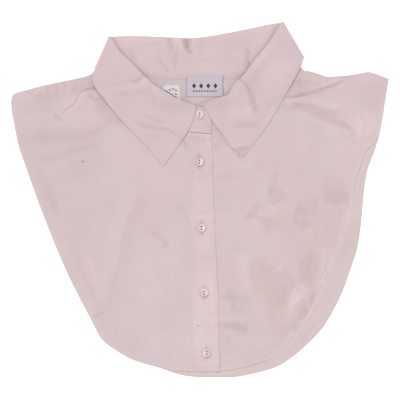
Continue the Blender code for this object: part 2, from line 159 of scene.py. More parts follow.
def smooth(t):  # 0 below 0, 1 above 1
    t = np.clip(t, 0.0, 1.0)
    return t * t * (3.0 - 2.0 * t)


def bell(t, sharp=2):  # 1 at 0, fading on both sides
    return np.exp(-np.abs(t) ** sharp)


def bigger(a, b, soft=0.25):  # the larger of two heights, with a soft turn between
    return (a + b + np.sqrt((a - b) ** 2 + soft * soft)) / 2


def edges(*names):  # outlines by name, and a minus runs one backwards
    return [outline[name.strip("-")][::-1 if name[0] == "-" else 1] for name in names]


def smoothLine(points, steps=12):
    p = np.array(points, float)
    if len(p) == 2:
        return p[0] + (p[1] - p[0]) * np.linspace(0, 1, steps + 1)[:, None]
    held = np.vstack([2 * p[0] - p[1], p, 2 * p[-1] - p[-2]])
    a, b, c, d = held[:-3, None], held[1:-2, None], held[2:-1, None], held[3:, None]
    t = (np.arange(steps) / steps)[None, :, None]
    at = (b * 2 + (c - a) * t + (a * 2 - b * 5 + c * 4 - d) * t ** 2
          + (b * 3 - a - c * 3 + d) * t ** 3)
    return np.vstack([at.reshape(-1, 2) / 2, p[-1]])


def reachOf(line):
    return np.concatenate([[0.0], np.cumsum(np.hypot(*np.diff(line, axis=0).T))])


def walk(line, at):
    reach = reachOf(line)
    return np.stack([np.interp(at, reach, line[:, k]) for k in (0, 1)], axis=-1)


def joined(curves):  # several curves as one line
    return np.vstack([smoothLine(curve)[int(k > 0):] for k, curve in enumerate(curves)])


def spaced(curves, count):  # even steps, with a point at each corner between two curves
    lines = [smoothLine(curve) for curve in curves]
    lengths = np.array([reachOf(line)[-1] for line in lines])
    ends = np.round(np.cumsum(lengths) / lengths.sum() * count).astype(int)
    points, before = [], 0
    for line, length, end in zip(lines, lengths, ends):
        points.append(walk(line, np.linspace(0, length, end - before + 1))[int(before > 0):])
        before = end
    return np.vstack(points)


def unit(vectors):
    return vectors / np.hypot(*vectors.T)[:, None]


def across(line, turn=1):  # straight out from a line at each of its points, to the left
    run = unit(np.gradient(line, axis=0))
    return np.stack([-run[:, 1], run[:, 0]], axis=1) * turn


def besideLine(x, y, line):  # distance, side and share of the length at the nearest point
    best = np.full(x.shape, 1e9)
    side, share = np.zeros(x.shape), np.zeros(x.shape)
    reach = reachOf(line)
    for (ax, ay), (bx, by), start in zip(line[:-1], line[1:], reach):
        dx, dy = bx - ax, by - ay
        square = dx * dx + dy * dy
        if square < 1e-9:
            continue
        t = np.clip(((x - ax) * dx + (y - ay) * dy) / square, 0.0, 1.0)
        ex, ey = x - ax - t * dx, y - ay - t * dy
        away = np.hypot(ex, ey)
        nearer = away < best
        best = np.where(nearer, away, best)
        side = np.where(nearer, np.sign(dx * ey - dy * ex), side)
        share = np.where(nearer, start + t * math.sqrt(square), share)
    return best, side, share / reach[-1]


def awayFrom(x, y, *names, steps=4):  # distance to the nearest of these edges
    return np.min([besideLine(x, y, smoothLine(curve, steps))[0]
                   for curve in edges(*names)], axis=0)


def inside(x, y, loop):
    within = np.zeros(x.shape, bool)
    for (ax, ay), (bx, by) in zip(loop, np.roll(loop, -1, axis=0)):
        crosses = (ay > y) != (by > y)
        with np.errstate(divide="ignore", invalid="ignore"):
            within ^= crosses & (x < (bx - ax) * (y - ay) / (by - ay) + ax)
    return within


def nearBox(x, y, line, far):  # the points no further than this outside a line's box
    low, high = line.min(axis=0) - far, line.max(axis=0) + far
    return (x > low[0]) & (x < high[0]) & (y > low[1]) & (y < high[1])


def waves(x, y, seed, size, count=9):  # soft seeded unevenness, mostly between -1 and 1
    pick = random.Random(seed)
    total = np.zeros(np.shape(x))
    for _ in range(count):
        turn, long = pick.uniform(0, math.pi), size * pick.uniform(0.7, 1.7)
        run = (x * math.cos(turn) + y * math.sin(turn)) * 2 * math.pi / long
        total += np.sin(run + pick.uniform(0, 2 * math.pi))
    return total / math.sqrt(count)


creasing = {
    "wander": 0.9,  # how far a crease strays from its line
    "wanderSize": 26,  # and over what length
    "foldWanderSize": 22,
    "uneven": 0.22,  # in height, along the crease
    "ends": 0.3,  # share of its length in which it fades out
    "fine": 3,  # narrower creases are sharper, and even
    "sharpness": (1.4, 1.8),  # of a fine one, and of a soft one
    "blot": 1.5,  # how far the edge of a painted light or painted shade patch strays
    "blotSizes": (22, 7),
}


def strayed(x, y, seed, size):
    x = x + creasing["wander"] * waves(x, y, seed, size)
    return x, y + creasing["wander"] * waves(x, y, seed + 1, size)


def creased(x, y, rows, seed):  # relief and painted shading of rows of line, half width, height, painted shade amount (below 0 painted light), lean
    x, y = strayed(x, y, seed, creasing["wanderSize"])
    uneven = 1.0 + creasing["uneven"] * waves(x, y, seed + 2, 18)
    relief, paintedShading = np.zeros(x.shape), np.zeros(x.shape)
    for points, width, height, *rest in rows:
        paintedShadingAmount, lean = (*rest, 0, 0)[:2]
        line, fine = smoothLine(points, 6), width < creasing["fine"]
        near = nearBox(x, y, line, 3.4 * width)
        if not near.any():
            continue
        away, side, share = besideLine(x[near], y[near], line)
        ends = creasing["ends"]
        taper = 0.1 + 0.9 * smooth(share / ends) * smooth((1 - share) / ends)
        rise = taper * bell(away / (width * (1 + lean * side)), creasing["sharpness"][not fine])
        relief[near] += height * rise * (uneven[near] if width > creasing["fine"] else 1.0)
        paintedShading[near] += paintedShadingAmount * rise * np.sqrt(rise)
    return relief, paintedShading


def folded(x, y, rows, seed=5):  # relief and painted shade of rows of crest, widths of its steep side ...
    x, y = strayed(x, y, seed, creasing["foldWanderSize"])
    relief, paintedShading = np.zeros(x.shape), np.zeros(x.shape)
    for points, widths, height, reach, steep, paintedShadingAmount, bend in rows:  # ... and the rest as named here
        away, side, share = besideLine(x, y, smoothLine(points, 6))
        signed = away * side * steep
        width = np.interp(share, np.linspace(0, 1, len(widths)), widths)
        taper = smooth(share / 0.2) * smooth((1 - share) / 0.16)
        fall = np.clip(1 - signed / width, 0, 1)
        relief += height * taper * np.where(signed > 0, fall ** bend, smooth(1 + signed / reach))
        paintedShading += paintedShadingAmount * taper * smooth(signed / 1.2) * smooth((width - signed) / 1.2 + 0.5)
    return relief, paintedShading


def patchy(x, y, patches, seed=61):  # painted shade and painted light in soft-edged patches: loop, softness, factors
    far, (large, small) = creasing["blot"], creasing["blotSizes"]
    x, y = [a + far * waves(x, y, seed + k, large) + far / 2 * waves(x, y, seed + 5 + k, small)
            for k, a in enumerate((x, y))]
    uneven = 1 + 0.3 * waves(x, y, seed + 9, 9)
    tone = np.ones(x.shape + (3,))
    for points, soft, factors in patches:
        loop = smoothLine([*points, points[0]], 4)
        near = nearBox(x, y, loop, 2 * soft)
        if near.any():
            away = besideLine(x[near], y[near], loop)[0]
            within = np.where(inside(x[near], y[near], loop), away, -away)
            cover = (smooth(0.5 + within / (2 * soft)) * uneven[near])[:, None]
            tone[near] *= 1 + cover * (np.array(factors) - 1)
    return tone


# turns painted shading amounts into colour factors
def paintedShadingTone(paintedShading):
    return np.array(cloth["paintedShading"]) ** np.clip(paintedShading, -1, 4.5)[..., None]


# How high each layer lies

backPanel = {
    "cells": (190, 110),
    "hemHeight": 0.2,
    "pucker": 0.08,  # along the hem
    "seed": 11,
    "creases": [
        ([(158.1, -15.6), (151.8, -41.6), (143.5, -64.5)], 4, 0.4, 0.15),
        ([(122.7, -122.7), (104, -145.6), (87.4, -158.1)], 3.4, 0.4, 0.1),
        ([(52, -177.8), (26, -181.5), (-5.2, -181)], 2.2, 0.3),
        ([(-145.6, 83.2), (-93.6, 52), (-52, 31.2)], 9, 0.6),
        ([(135.2, 83.2), (83.2, 41.6), (41.6, 10.4)], 10, 0.7),
        ([(-83.2, -31.2), (-67.6, -83.2), (-41.6, -135.2)], 9, 0.7),
        ([(93.6, -20.8), (83.2, -72.8), (52, -124.8)], 9, 0.7),
        ([(-20.8, 52), (0, -20.8), (5.2, -104)], 12, 0.5),
        ([(-135.2, 31.2), (-114.4, -20.8), (-98.8, -72.8)], 7, 0.5),
        ([(140.4, 20.8), (130, -31.2), (114.4, -72.8)], 7, 0.5),
        ([(-41.6, 93.6), (0, 81.1), (41.6, 91.5)], 8, 0.4),
    ],
    # painted shade and painted light on the yoke under the collar
    "patches": [
        ([(-52, 135.2), (46.8, 145.6), (41.6, 104), (0, 91.5), (-36.4, 104)], 3,
          (0.97, 0.983, 1.006)),
        ([(-52, 132), (-17, 132), (-13, 104), (-30, 104), (-46, 116)], 4, (0.94, 0.935, 0.93)),
        ([(-25, 124), (-13, 124), (-13, 103), (-21, 103)], 3, (0.99, 1.015, 1.018)),
    ],
    "rollShade": 0.3,  # painted shade behind the turned edges of the collar
    "paintedLight": (0.075, 0.12),  # painted light on it beside the left front's hem edge, all along and more low down
    "paintedLightWidths": (1.3, 0.8),
}


def backLevel(x, y):  # the hidden collar leaf lifts what lies over it
    climb, clear, leafEdge = cloth["climb"], cloth["clear"], outline["leafEdgeBack"]
    up = smooth((y - np.interp(x, *zip(*leafEdge)) + clear + climb) / climb)
    right = smooth((x - leafEdge[0][0] + clear + climb) / climb)
    left = smooth((leafEdge[-1][0] + clear + climb - x) / climb)
    return cloth["layer"] * up * right * left


def backMiddle(x, y):
    flat = smooth(awayFrom(x, y, "backNeck", "backNeckToShoulder") / 12)
    shoulder = smooth(1 - awayFrom(x, y, "shoulderRight", "shoulderLeftEnd") / 4)
    level = cloth["middle"] + backLevel(x, y) + 0.12 * shoulder
    relief = creased(x, y, backPanel["creases"], backPanel["seed"])[0]
    return level + flat * (relief + 0.07 * waves(x, y, 12, 16))


frontPanels = {
    "cells": (200, 200),
    "hemHeight": 0.05,
    "pucker": 0.04,
    "seed": 21,
    "paintedLight": (0.07, 0.13),  # painted light along the left front's edge, most low down
    "paintedLightWidths": (1.1, 0.8),
    "wingShade": (("leafEdgeRight", 0.7, 3.4), ("leafEdgeLeft", 0.35, 3.0)),  # painted shade beside the collar's outer edges
    "shoulderReach": 14,  # how far in from a shoulder seam a front floats up
    "tabLift": 0.75,  # what passes over the buttoned tab climbs by this
    "tabHalf": 14.0,  # half the width of the level part
    "tabSlope": 18.0,
    "tabFoot": 68.0,
    "creases": [
        ([(-86, 117.5), (-99, 116.5), (-109.7, 115.8), (-116.5, 114.9), (-119.7, 114.2),
          (-122.9, 111.4), (-126, 108.6), (-127.7, 105.4), (-130.8, 101), (-134.1, 96.9),
          (-139.7, 92.2), (-142.4, 89), (-147, 93)], 1.4, -1.1, 1.1),
        ([(-90, 116.8), (-109, 115.8), (-116.5, 114.9), (-124, 110.5)], 1.2, -0.8, 3),
        ([(-116.5, 109.2), (-122.7, 103), (-131, 93.6)], 5, 0.7),
        ([(-107.5, 119), (-110.4, 113), (-112, 105.5)], 1.1, -0.6, 0.9),
        ([(-118, 117), (-115, 108.5), (-112.1, 105), (-109.2, 103.8), (-105.2, 104.6), (-95, 109)],
          1.3, -0.9, 1.3),
        ([(-152, 90), (-147.7, 84.5), (-143.5, 80.5)], 2.2, -0.7, 0.9),
        ([(-183, 103), (-164.3, 104), (-145.6, 107.6), (-122.7, 113.4)], 6, -0.5, 0.35),
        ([(-192, 54), (-178, 60), (-164, 64.5), (-140, 64.2), (-124, 65.6), (-108, 72.8),
          (-85.3, 80), (-72, 88)], 8, -0.5, 0.85),
        ([(-187.2, 76.8), (-166.4, 79), (-143.5, 78), (-122.7, 83)], 7, 0.35),
        ([(-184, 46), (-176.8, 43.7), (-153.9, 41.6), (-139.4, 45.8), (-118.6, 54.1), (-95.7, 62.4),
          (-86, 70)], 4.6, -0.8, 0.55),
        ([(-108.2, 99.8), (-99.8, 90.5), (-90.5, 82.2)], 4, -0.6, 0.2),
        ([(-170.6, 41.6), (-165.4, 22.9), (-157, 4.2), (-147.7, -14.6), (-149.8, -24)], 6, -0.5,
          0.45),
        ([(-160.2, 14.6), (-152.9, -4.2), (-150.8, -16.6)], 2.4, -0.5, 0.4),
        ([(-142.5, -29.1), (-133.1, -47.8), (-125.8, -66.6), (-116.5, -89.4), (-106.1, -107.1),
          (-98.8, -118.6)], 4.2, -1, 0.4),
        ([(-112.3, -122.7), (-105, -121.2), (-97.8, -115.4)], 2, -0.9, 0.9),
        ([(-116.5, -54.1), (-110.2, -74.9), (-103, -100.9)], 4.5, 0.6, -0.25),
        ([(-82.2, -114.4), (-85.3, -126.9), (-87.4, -141.4)], 2.6, -0.5, 0.3),
        ([(-80.1, -145.6), (-73.8, -150.8), (-65.5, -158.1)], 2.4, -0.5, 0.3),
        ([(-52, -27), (-43.7, -37.5), (-36.4, -46.8), (-30.2, -58.2)], 3, -1, 0.7),
        ([(-46, -55), (-38.4, -47.8), (-31.2, -40.6)], 2.4, -0.8, 0.6),
        ([(-26, -6), (-20, -12), (-13, -20), (-11, -26)], 2.8, -0.5, 0.5),
        ([(-18.2, 69), (-16, 61.5), (-13.7, 54), (-13, 49)], 2, -1, 1.7),
        ([(-10, 78), (-15, 71.5), (-18.5, 66.5), (-22, 61), (-27, 52)], 1.3, 0.25, -1),
        ([(22, 67), (30.5, 56), (37, 48.5), (43, 42), (45.5, 41), (49, 46.5)], 1.4, 0, 0.8),
        ([(-104, 31.2), (-83.2, 25), (-62.4, 31.2)], 14, 0.4),
        ([(-52, -93.6), (-36.4, -114.4)], 16, 0.4),
        ([(-90.5, 29.1), (-79, 12.5), (-74.9, -5.2)], 10, 0.5, -0.15),
        ([(74, 106.4), (88.4, 107.2), (104, 107.4), (111.8, 111.2), (120.9, 113.8), (130, 116.6),
          (139.2, 119.8), (148.2, 124), (156, 127.2), (168, 131)], 1.8, -0.7, 0.95),
        ([(98, 104.5), (110, 107.6), (122, 111), (135, 114.8), (147, 119.6)], 3, 0, 0.5),
        ([(104, 123.8), (116.5, 120.6), (126.9, 121.7)], 2.2, -0.5, 0.5),
        ([(83, 107.2), (88, 107.3), (94, 107.2), (100, 107.3), (106, 109.3), (112, 111.6)], 1.5,
          -0.4, 1.5),
        ([(145.6, 69.7), (153.9, 62.4), (162.2, 60.3), (170.6, 60.3)], 2, -0.9, 0.45),
        ([(156, 77), (164.3, 70.7), (172.6, 67.6)], 5, 0.8, -0.2),
        ([(172.6, 79), (179.9, 91.5), (184.1, 103)], 2.6, -0.5, 0.25),
        ([(85.3, 74.9), (95.7, 66.6), (107.1, 55.1)], 4, -0.45, 0.2),
        ([(114.4, 62.4), (122.7, 49.9), (126.9, 39.5)], 4.5, -0.35, 0.15),
        ([(70.7, 22.9), (70.7, 2.1)], 3, 0.5),
        ([(126.9, 0), (141.4, -1.6), (156, 0)], 2, -0.9, 0.5),
        ([(131, 16.6), (126.9, 6.2)], 3, -0.5),
        ([(93.6, -4.2), (94.6, -20.8)], 3, -0.4),
        ([(117.5, -41.6), (130, -51), (142.5, -47.8)], 2.4, -0.7, 0.1),
        ([(52, -12.5), (64.5, -6.2), (77, -8.3)], 3, -0.4),
        ([(44.7, -20.8), (56.2, -18.2), (70.7, -25)], 2.6, -0.5, 0.15),
        ([(64.5, -14.6), (69.7, -22.9), (72.8, -33.3)], 3, -0.4, 0.1),
        ([(54.1, -64.5), (66.6, -56.2), (79, -66.6)], 4, 0.5),
        ([(99.8, -89.4), (108.2, -79), (122.7, -70.7)], 3.4, 0.6, -0.1),
        ([(88.4, -93.6), (85.3, -108.2), (79, -120.6)], 5, -0.6),
        ([(124.8, -91.5), (115.4, -107.1), (103, -122.7), (90.5, -137.3), (74.9, -145.6)], 4.6,
          -1.6, 0.35),
        ([(107.1, -95.7), (101.9, -106.1), (92.6, -114.4)], 3.6, 1, -0.3),
        ([(122.7, -57.2), (129, -67.6), (122.7, -82.2)], 3.4, 0.8, -0.15),
        ([(26, -103), (35.4, -100.4), (44.7, -105)], 2.2, -0.7, 0.6),
        ([(29.1, -107.1), (35.4, -113.4), (44.7, -119.6)], 4, -0.4, 0.3),
        ([(13.5, 22.9), (27, 22.4), (41.6, 22.9)], 3.4, -0.5, 0.3),
        ([(14.6, -11.4), (27, -13), (40.6, -11.4)], 3.2, -0.5, 0.3),
        ([(32.2, -52), (33.3, -70.7)], 5, -0.3),
        ([(54.1, -158.1), (66.6, -151.8), (79, -145.6)], 4, 0.6, -0.1),
        ([(22.9, 49.9), (16.6, 36.4), (14.6, 25)], 3.4, -0.4, 0.1),
        ([(18.7, -141.4), (27, -146.6), (35.4, -151.8)], 3, -0.5, 0.3),
        ([(34.3, 29.1), (52, 33.3), (64.5, 43.7)], 8, 0.5),
    ],
    "folds": [
        ([(-60, 26), (-61.5, 14), (-64.5, 2.1), (-69, -9), (-74.9, -18.7), (-78, -27),
          (-80.1, -37.4), (-83.2, -58.2), (-89.4, -74.9), (-94.6, -95.7), (-101, -128)],
          (8, 12, 14, 13, 13, 12, 12, 12, 12, 12, 6), 1.45, 18, 1, 0.06, 1.7),
        ([(85, 100), (92, 100.4), (104, 100.6), (117, 98.6), (130, 95.3), (139.2, 93), (148.2, 87),
          (154.8, 80.2), (158.4, 72), (160, 64)], (8, 7.5, 8, 9.5, 12.5, 14, 13.5, 10.5, 5, 2), 2.3,
          9, -1, 0.4, 1),
        ([(81.1, 106.4), (95.7, 107.6), (107.1, 110.7), (122.7, 115), (135.2, 119), (147.7, 124.3),
          (162.2, 129)], (2.5, 3, 3.5, 3.5, 3, 2), 1, 9, -1, 0.2, 1),
        ([(14.6, -126.4), (27, -126.4), (39.5, -128.4), (51, -129)], (4, 5, 6, 5), 1.3, 7, -1, 0.1,
          1),
    ],
    # painted shade and painted light in patches over the fronts
    "patches": [
        ([(71.3, 12.5), (70.1, 22.9), (75.9, 31.2), (81.1, 29.1), (80.1, 14.6)], 3.5,
          (0.975, 0.957, 0.955)),
        ([(70.1, 9.4), (71.8, 14.6), (82.2, 13.5), (88.4, 7.3), (87.4, -2.5), (75.9, -4.2),
          (70.1, 2.1)], 2.2, (0.95, 0.925, 0.945)),
        ([(126.9, 9.4), (132.1, 20.8), (148.7, 20.8), (152.9, 7.3)], 3, (0.975, 0.968, 0.965)),
        ([(127.5, 9.4), (140.4, 12.5), (152.9, 7.9), (155.4, 1.7), (151.8, -2.9), (129, -2.9)], 1.4,
          (0.965, 0.945, 0.94)),
        ([(140.4, 5.2), (154.5, 5.2), (154.5, -1.7), (144.6, -2.5)], 2, (0.995, 0.98, 0.965)),
        ([(98.8, -8.3), (107.1, 1), (119.6, 2.1), (122.1, -10.4), (113.4, -18.7), (115.4, -27),
          (105, -30.2), (96.7, -22.9)], 2, (0.966, 0.945, 0.96)),
        ([(97.8, -7.3), (104, -7.3), (105, -14.1), (98.8, -15)], 1.6, (0.935, 0.94, 0.92)),
        ([(96.7, -16.6), (104, -17.1), (113.4, -20.8), (113.4, -25), (98.8, -25.4)], 1.6,
          (0.975, 0.965, 0.965)),
        ([(46.8, -19.8), (52, -8.3), (60.3, -3.1), (68.6, -8.3), (60.3, -14.6), (55.1, -20.8)], 1.4,
          (0.94, 0.935, 0.943)),
        ([(60.3, -17.7), (71.8, -19.8), (80.1, -25), (75.9, -31.2), (71.8, -35.4), (66.6, -25)],
          1.6, (0.955, 0.95, 0.94)),
        ([(117.5, -10.4), (148.7, -10.4), (147.1, -35.4), (138.3, -51), (127.9, -47.8),
          (119.6, -37.4), (113.4, -27)], 1.6, (0.985, 0.97, 0.957)),
        ([(82.2, -14.6), (87.4, -10.4), (98.8, -16.6), (105, -35.4), (119.6, -45.8), (123.8, -56.2),
          (113.4, -81.1), (103, -81.1), (94.6, -56.2), (84.2, -45.8)], 6, (0.99, 0.972, 0.965)),
        ([(53, -64.5), (63.4, -61.4), (78, -70.7), (87.4, -72.8), (98.8, -81.1), (94.6, -97.8),
          (88.4, -112.3), (86.3, -122.7), (73.8, -126.9), (67.6, -114.4), (65.5, -101.9),
          (55.1, -91.5)], 2, (0.962, 0.955, 0.93)),
        ([(70.7, -91.5), (88.4, -89.4), (90.9, -101.9), (84.2, -110.2), (75.9, -106.1)], 4,
          (1.01, 0.99, 0.975)),
        ([(103, -60.3), (113.4, -52), (124.2, -56.2), (126.3, -68.6), (119.6, -81.1),
          (115.9, -93.6), (107.5, -87.8), (104, -72.8)], 2, (0.97, 0.95, 0.93)),
        ([(107.1, -64.5), (116.5, -64.5), (117.5, -81.1), (109.2, -83.2)], 5, (1, 0.97, 0.96)),
        ([(88.4, -112.3), (95.7, -91.5), (107.1, -89), (112.5, -95.7), (103, -110.2),
          (94.2, -119.6)], 1, (1.045, 1.055, 1.035)),
        ([(78, -72.8), (85.3, -67.6), (87.4, -70.7), (82.2, -75.9)], 1.6, (1.065, 1.075, 1.065)),
        ([(124.2, -91.5), (119.6, -94.6), (112.3, -106.1), (104, -118.6), (97.8, -132.1),
          (100.9, -136.2), (110.2, -124.8), (119.6, -108.2), (123.8, -99.8)], 1.6,
          (0.935, 0.915, 0.89)),
        ([(19.3, -103), (33.3, -91.5), (39.5, -100.9), (41.6, -104.4), (28.1, -104.4)], 1.6,
          (0.955, 0.955, 0.945)),
        ([(30.2, -105), (48.9, -97.8), (52, -112.3), (49.9, -124.8), (36.4, -124.8)], 3,
          (0.962, 0.962, 0.95)),
        ([(19.8, -131), (32.2, -128.1), (46.8, -131), (47.8, -138.9), (41.6, -137.7),
          (32.2, -134.8), (20.2, -134.2)], 1.1, (0.935, 0.94, 0.925)),
        ([(34.3, -124.8), (57.2, -126.9), (65.5, -139.4), (61.4, -147.7), (46.8, -141.4)], 6,
          (0.988, 0.985, 0.975)),
        ([(26, -60.3), (36.4, -64.5), (34.3, -77), (28.1, -72.8)], 5, (1, 0.98, 0.98)),
        ([(38.5, -56.2), (48.9, -60.3), (51, -81.1), (46.8, -93.6), (39.5, -81.1)], 5,
          (1.05, 1.065, 1.035)),
        ([(125.8, -52), (138.3, -52), (140.4, -64.5), (132.1, -74.9), (125.8, -72.8), (129, -62.4)],
          1.6, (1.03, 1.035, 1.015)),
        ([(120.6, -81.1), (129, -83.2), (130, -91.5), (123.8, -91.5)], 1.8, (1.02, 1, 0.98)),
        ([(71.8, -126.9), (86.3, -122.7), (98.8, -131), (103, -141.4), (78, -145.6)], 5,
          (1, 0.985, 0.98)),
        ([(90.5, 114.4), (95.7, 126.9), (104, 129), (122.7, 124.8), (143.5, 121.7), (135.2, 118.6),
          (122.7, 116), (104, 110.2)], 2.2, (0.985, 0.945, 0.955)),
        ([(89.4, 110.2), (93.6, 124.8), (106.1, 126.9), (110.2, 116.5), (99.8, 109.2)], 2,
          (0.955, 0.945, 0.955)),
        ([(84, 108), (92, 104.5), (112, 104.8), (108, 99), (90, 97.5), (82, 98)], 2,
          (0.99, 0.985, 0.975)),
        ([(-108, 104), (-100, 103.5), (-91, 90), (-83, 79), (-90, 79), (-100, 86), (-108, 94)], 5,
          (0.935, 0.925, 0.9)),
        ([(-132, 118), (-118, 121.5), (-111, 117.5), (-119, 115.5), (-127, 110.5), (-134, 110)],
          2.4, (0.95, 0.925, 0.92)),
        ([(-114.4, -104), (-107.1, -104), (-104, -119.6), (-98.8, -127), (-104, -130)], 3,
          (0.945, 0.97, 0.935)),
        ([(161.2, 83.2), (172.6, 93.6), (183, 90.5), (178.9, 67.6), (166.4, 60.3), (159.1, 66.6)],
          2.6, (1.06, 1.055, 1.04)),
        ([(122.7, 103), (145.6, 106.1), (161.2, 97.8), (158.1, 87.4), (143.5, 93.6)], 2.6,
          (1.005, 1.01, 1)),
        ([(-178.9, 110.2), (-145.6, 120.6), (-116.5, 127.9), (-112.3, 118.6), (-135.2, 114.4),
          (-161.2, 106.1)], 2.4, (0.955, 0.93, 0.938)),
        ([(-193.4, 104), (-166.4, 108.2), (-145.6, 104), (-156, 91.5), (-187.2, 91.5)], 5,
          (0.965, 0.967, 0.963)),
        ([(-93.6, -62.4), (-10.4, -41.6), (-8.3, -166.4), (-52, -171.6), (-88.4, -124.8)], 14,
          (1, 1.02, 1.02)),
        ([(13.5, 78), (15.6, 78), (27.5, 60.5), (23, 54), (14.6, 52)], 2.4, (0.975, 0.93, 0.93)),
        ([(-4.2, 0), (15.6, 20.8), (41.6, -31.2), (36.4, -104), (15.6, -52)], 10, (0.995, 1.01, 1)),
        ([(104, 92), (118, 86), (132, 80), (146, 71), (140, 65), (124, 75), (108, 85)], 3,
          (1.03, 1.03, 1.03)),
        ([(79, 96), (86, 100.6), (96, 101), (105, 100), (100, 94.5), (90, 92.6), (82, 89)], 2.4,
          (0.955, 0.955, 0.955)),
        ([(-188, 70), (-150, 58), (-104, 40), (-96, -12), (-126, -40), (-160, -10)], 20,
          (0.965, 0.98, 0.975)),
        ([(-72, -30), (-26, -44), (-20, -98), (-62, -104)], 20, (1.02, 1.023, 1.023)),
        ([(138, 98), (188, 84), (176, 38), (134, 36)], 16, (1.03, 1.028, 1.03)),
        ([(-60, -140), (70, -138), (54, -170), (-36, -172)], 9, (1.005, 1.04, 1.035)),
        ([(104, -98), (124, -98), (122, -124), (102, -122)], 6, (0.98, 0.975, 0.98)),
    ],
}
leafLoops = [
    np.vstack([smoothLine(outline["rollRight"], 5), smoothLine(outline["leafEdgeRight"], 5)[::-1],
               smoothLine(outline["leafFrontRight"], 3)[::-1]]),
    np.vstack([smoothLine(outline["rollLeft"], 5), smoothLine(outline["leafFrontLeft"], 3),
               smoothLine(outline["leafEdgeLeft"], 5)[::-1]]),
]


def underLeaf(x, y):  # 1 well inside a collar leaf, 0 outside
    cover = np.zeros(x.shape)
    for loop in leafLoops:
        within = inside(x, y, loop)
        if within.any():
            cover[within] = smooth((besideLine(x[within], y[within], loop)[0] - 1) / 8)
    return cover


def tabLift(x, y):  # what passes over the buttoned tab climbs from either side
    half, slope, foot = [frontPanels[key] for key in ("tabHalf", "tabSlope", "tabFoot")]
    sides = smooth((half + slope - np.abs(x)) / slope)
    return frontPanels["tabLift"] * sides * smooth((y - foot + slope) / slope)


def neckLift(x, y):  # of the right front and the button band, less where both lie under the tab
    near = smooth(1 - awayFrom(x, y, "neckRight", "tabBottom") / 12)
    return tabLift(x, y) * near * (1 - 0.5 * smooth((x + 20) / 8))


def frontMiddle(x, y):
    hem = awayFrom(x, y, "armholeRight", "hemRight", "frontLeftEdge")
    shoulder = awayFrom(x, y, "shoulderRight", "shoulderLeft")
    neck = awayFrom(x, y, "neckRight", "neckLeft")
    edge, far = np.minimum(np.minimum(hem, shoulder), neck), cloth["loftReach"]
    settled = np.maximum(1 - smooth(hem / far), 1 - smooth(shoulder / frontPanels["shoulderReach"]))
    sink = (cloth["layer"] - cloth["contact"]) * settled
    level = cloth["middle"] + cloth["layer"] + backLevel(x, y) - sink
    loft = cloth["loft"] * smooth(edge / far)
    relief = creased(x, y, frontPanels["creases"], frontPanels["seed"])[0]
    relief = relief + folded(x, y, frontPanels["folds"])[0]
    crease = relief * (1 - underLeaf(x, y)) * (0.35 + 0.65 * smooth(edge / 9))
    soft = cloth["ripple"] * waves(x, y, 24, 34) + 0.035 * waves(x, y, 25, 9)
    return level + bigger(loft + crease + soft * smooth(edge / 14), 0.0, 0.3) - 0.02


def frontTone(x, y):
    paintedShading = creased(x, y, frontPanels["creases"], frontPanels["seed"])[1]
    paintedShading = paintedShading + folded(x, y, frontPanels["folds"])[1]
    # painted shade beside the collar's outer edges
    for name, amount, wide in frontPanels["wingShade"]:
        away = awayFrom(x, y, name, steps=12)
        paintedShading += amount * smooth((y - 60) / 45) * bell(away / wide, 1.3)
    return paintedShadingTone(paintedShading * (1 - underLeaf(x, y))) * patchy(x, y, frontPanels["patches"])


buttonBand = {
    "rows": 236,
    "columns": (0.11, 0.2, 0.36, 0.52, 0.68, 0.8),  # shares of the way from the middle to an edge
    "innerColumns": (0.88, 0.95, 0.985, 1.0),  # and the rest of them on each side
    "outerColumns": (0.87, 0.93, 0.97, 1.0),
    "joinWidth": 4.5,  # in which it settles on the right front
    "freeWidth": 7.0,
    "freeEdge": 0.1,  # lift of the folded edge on the wearer's left
    "bottomLift": 0.35,  # and at its lower end
    "dimple": 0.35,  # of a button, and its width
    "dimpleWidth": 5.5,
    "stitchDip": 0.12,
    "stitches": (2.2, 3.6),  # in from the outer and the inner edge
    "holeLength": 14.5,
    "holeWidth": 0.5,
    "seed": 31,
    "creases": [
        ([(-15, 65.5), (-12.5, 64.8), (-2.1, 62.2), (9.4, 59.3), (12, 58.5)], 3.2, -0.6, 0.75),
        ([(-6.2, 25), (3.1, 22.9), (12.5, 23.9)], 3, -0.25, 0.15),
        ([(-8.3, -13.5), (2.1, -15.6), (13.5, -13.5)], 3, -0.3, 0.15),
        ([(-3.1, -54.1), (6.2, -56.2), (15.6, -54.6)], 2.6, 0.3),
        ([(-1, -63.4), (8.3, -61.9), (17.7, -62.4)], 2, -0.3, 0.15),
        ([(-4.2, -112.3), (6.2, -115.4), (18.7, -113.4)], 3, 0.3),
        ([(1, -133.1), (10.4, -134.7), (19.8, -134.2)], 3, -0.35, 0.15),
        ([(-6.2, -168.5), (5.2, -166.4), (19.8, -167.4)], 2.4, -0.25, 0.15),
    ],
    # painted shade and painted light in patches over the band
    "patches": [
        ([(-16.6, 74), (15.6, 74), (16.6, 29.1), (-16.6, 29.1)], 10, (0.955, 0.95, 0.955)),
        ([(-16.6, -172.6), (22.9, -172.6), (22.9, -183), (-16.6, -183)], 2.5, (0.945, 0.955, 0.96)),
        ([(8.6, 68), (10.6, 68), (11, 46), (8.8, 46)], 0.8, (1.07, 1.05, 1.05)),
        ([(-12.5, 71), (12.5, 70.4), (12.5, 67), (-13, 67.6)], 1.2, (1.09, 1.06, 1.065)),
        ([(-14, -92), (22, -92), (24, -166), (-12, -166)], 10, (1.025, 1.045, 1.04)),
    ],
}


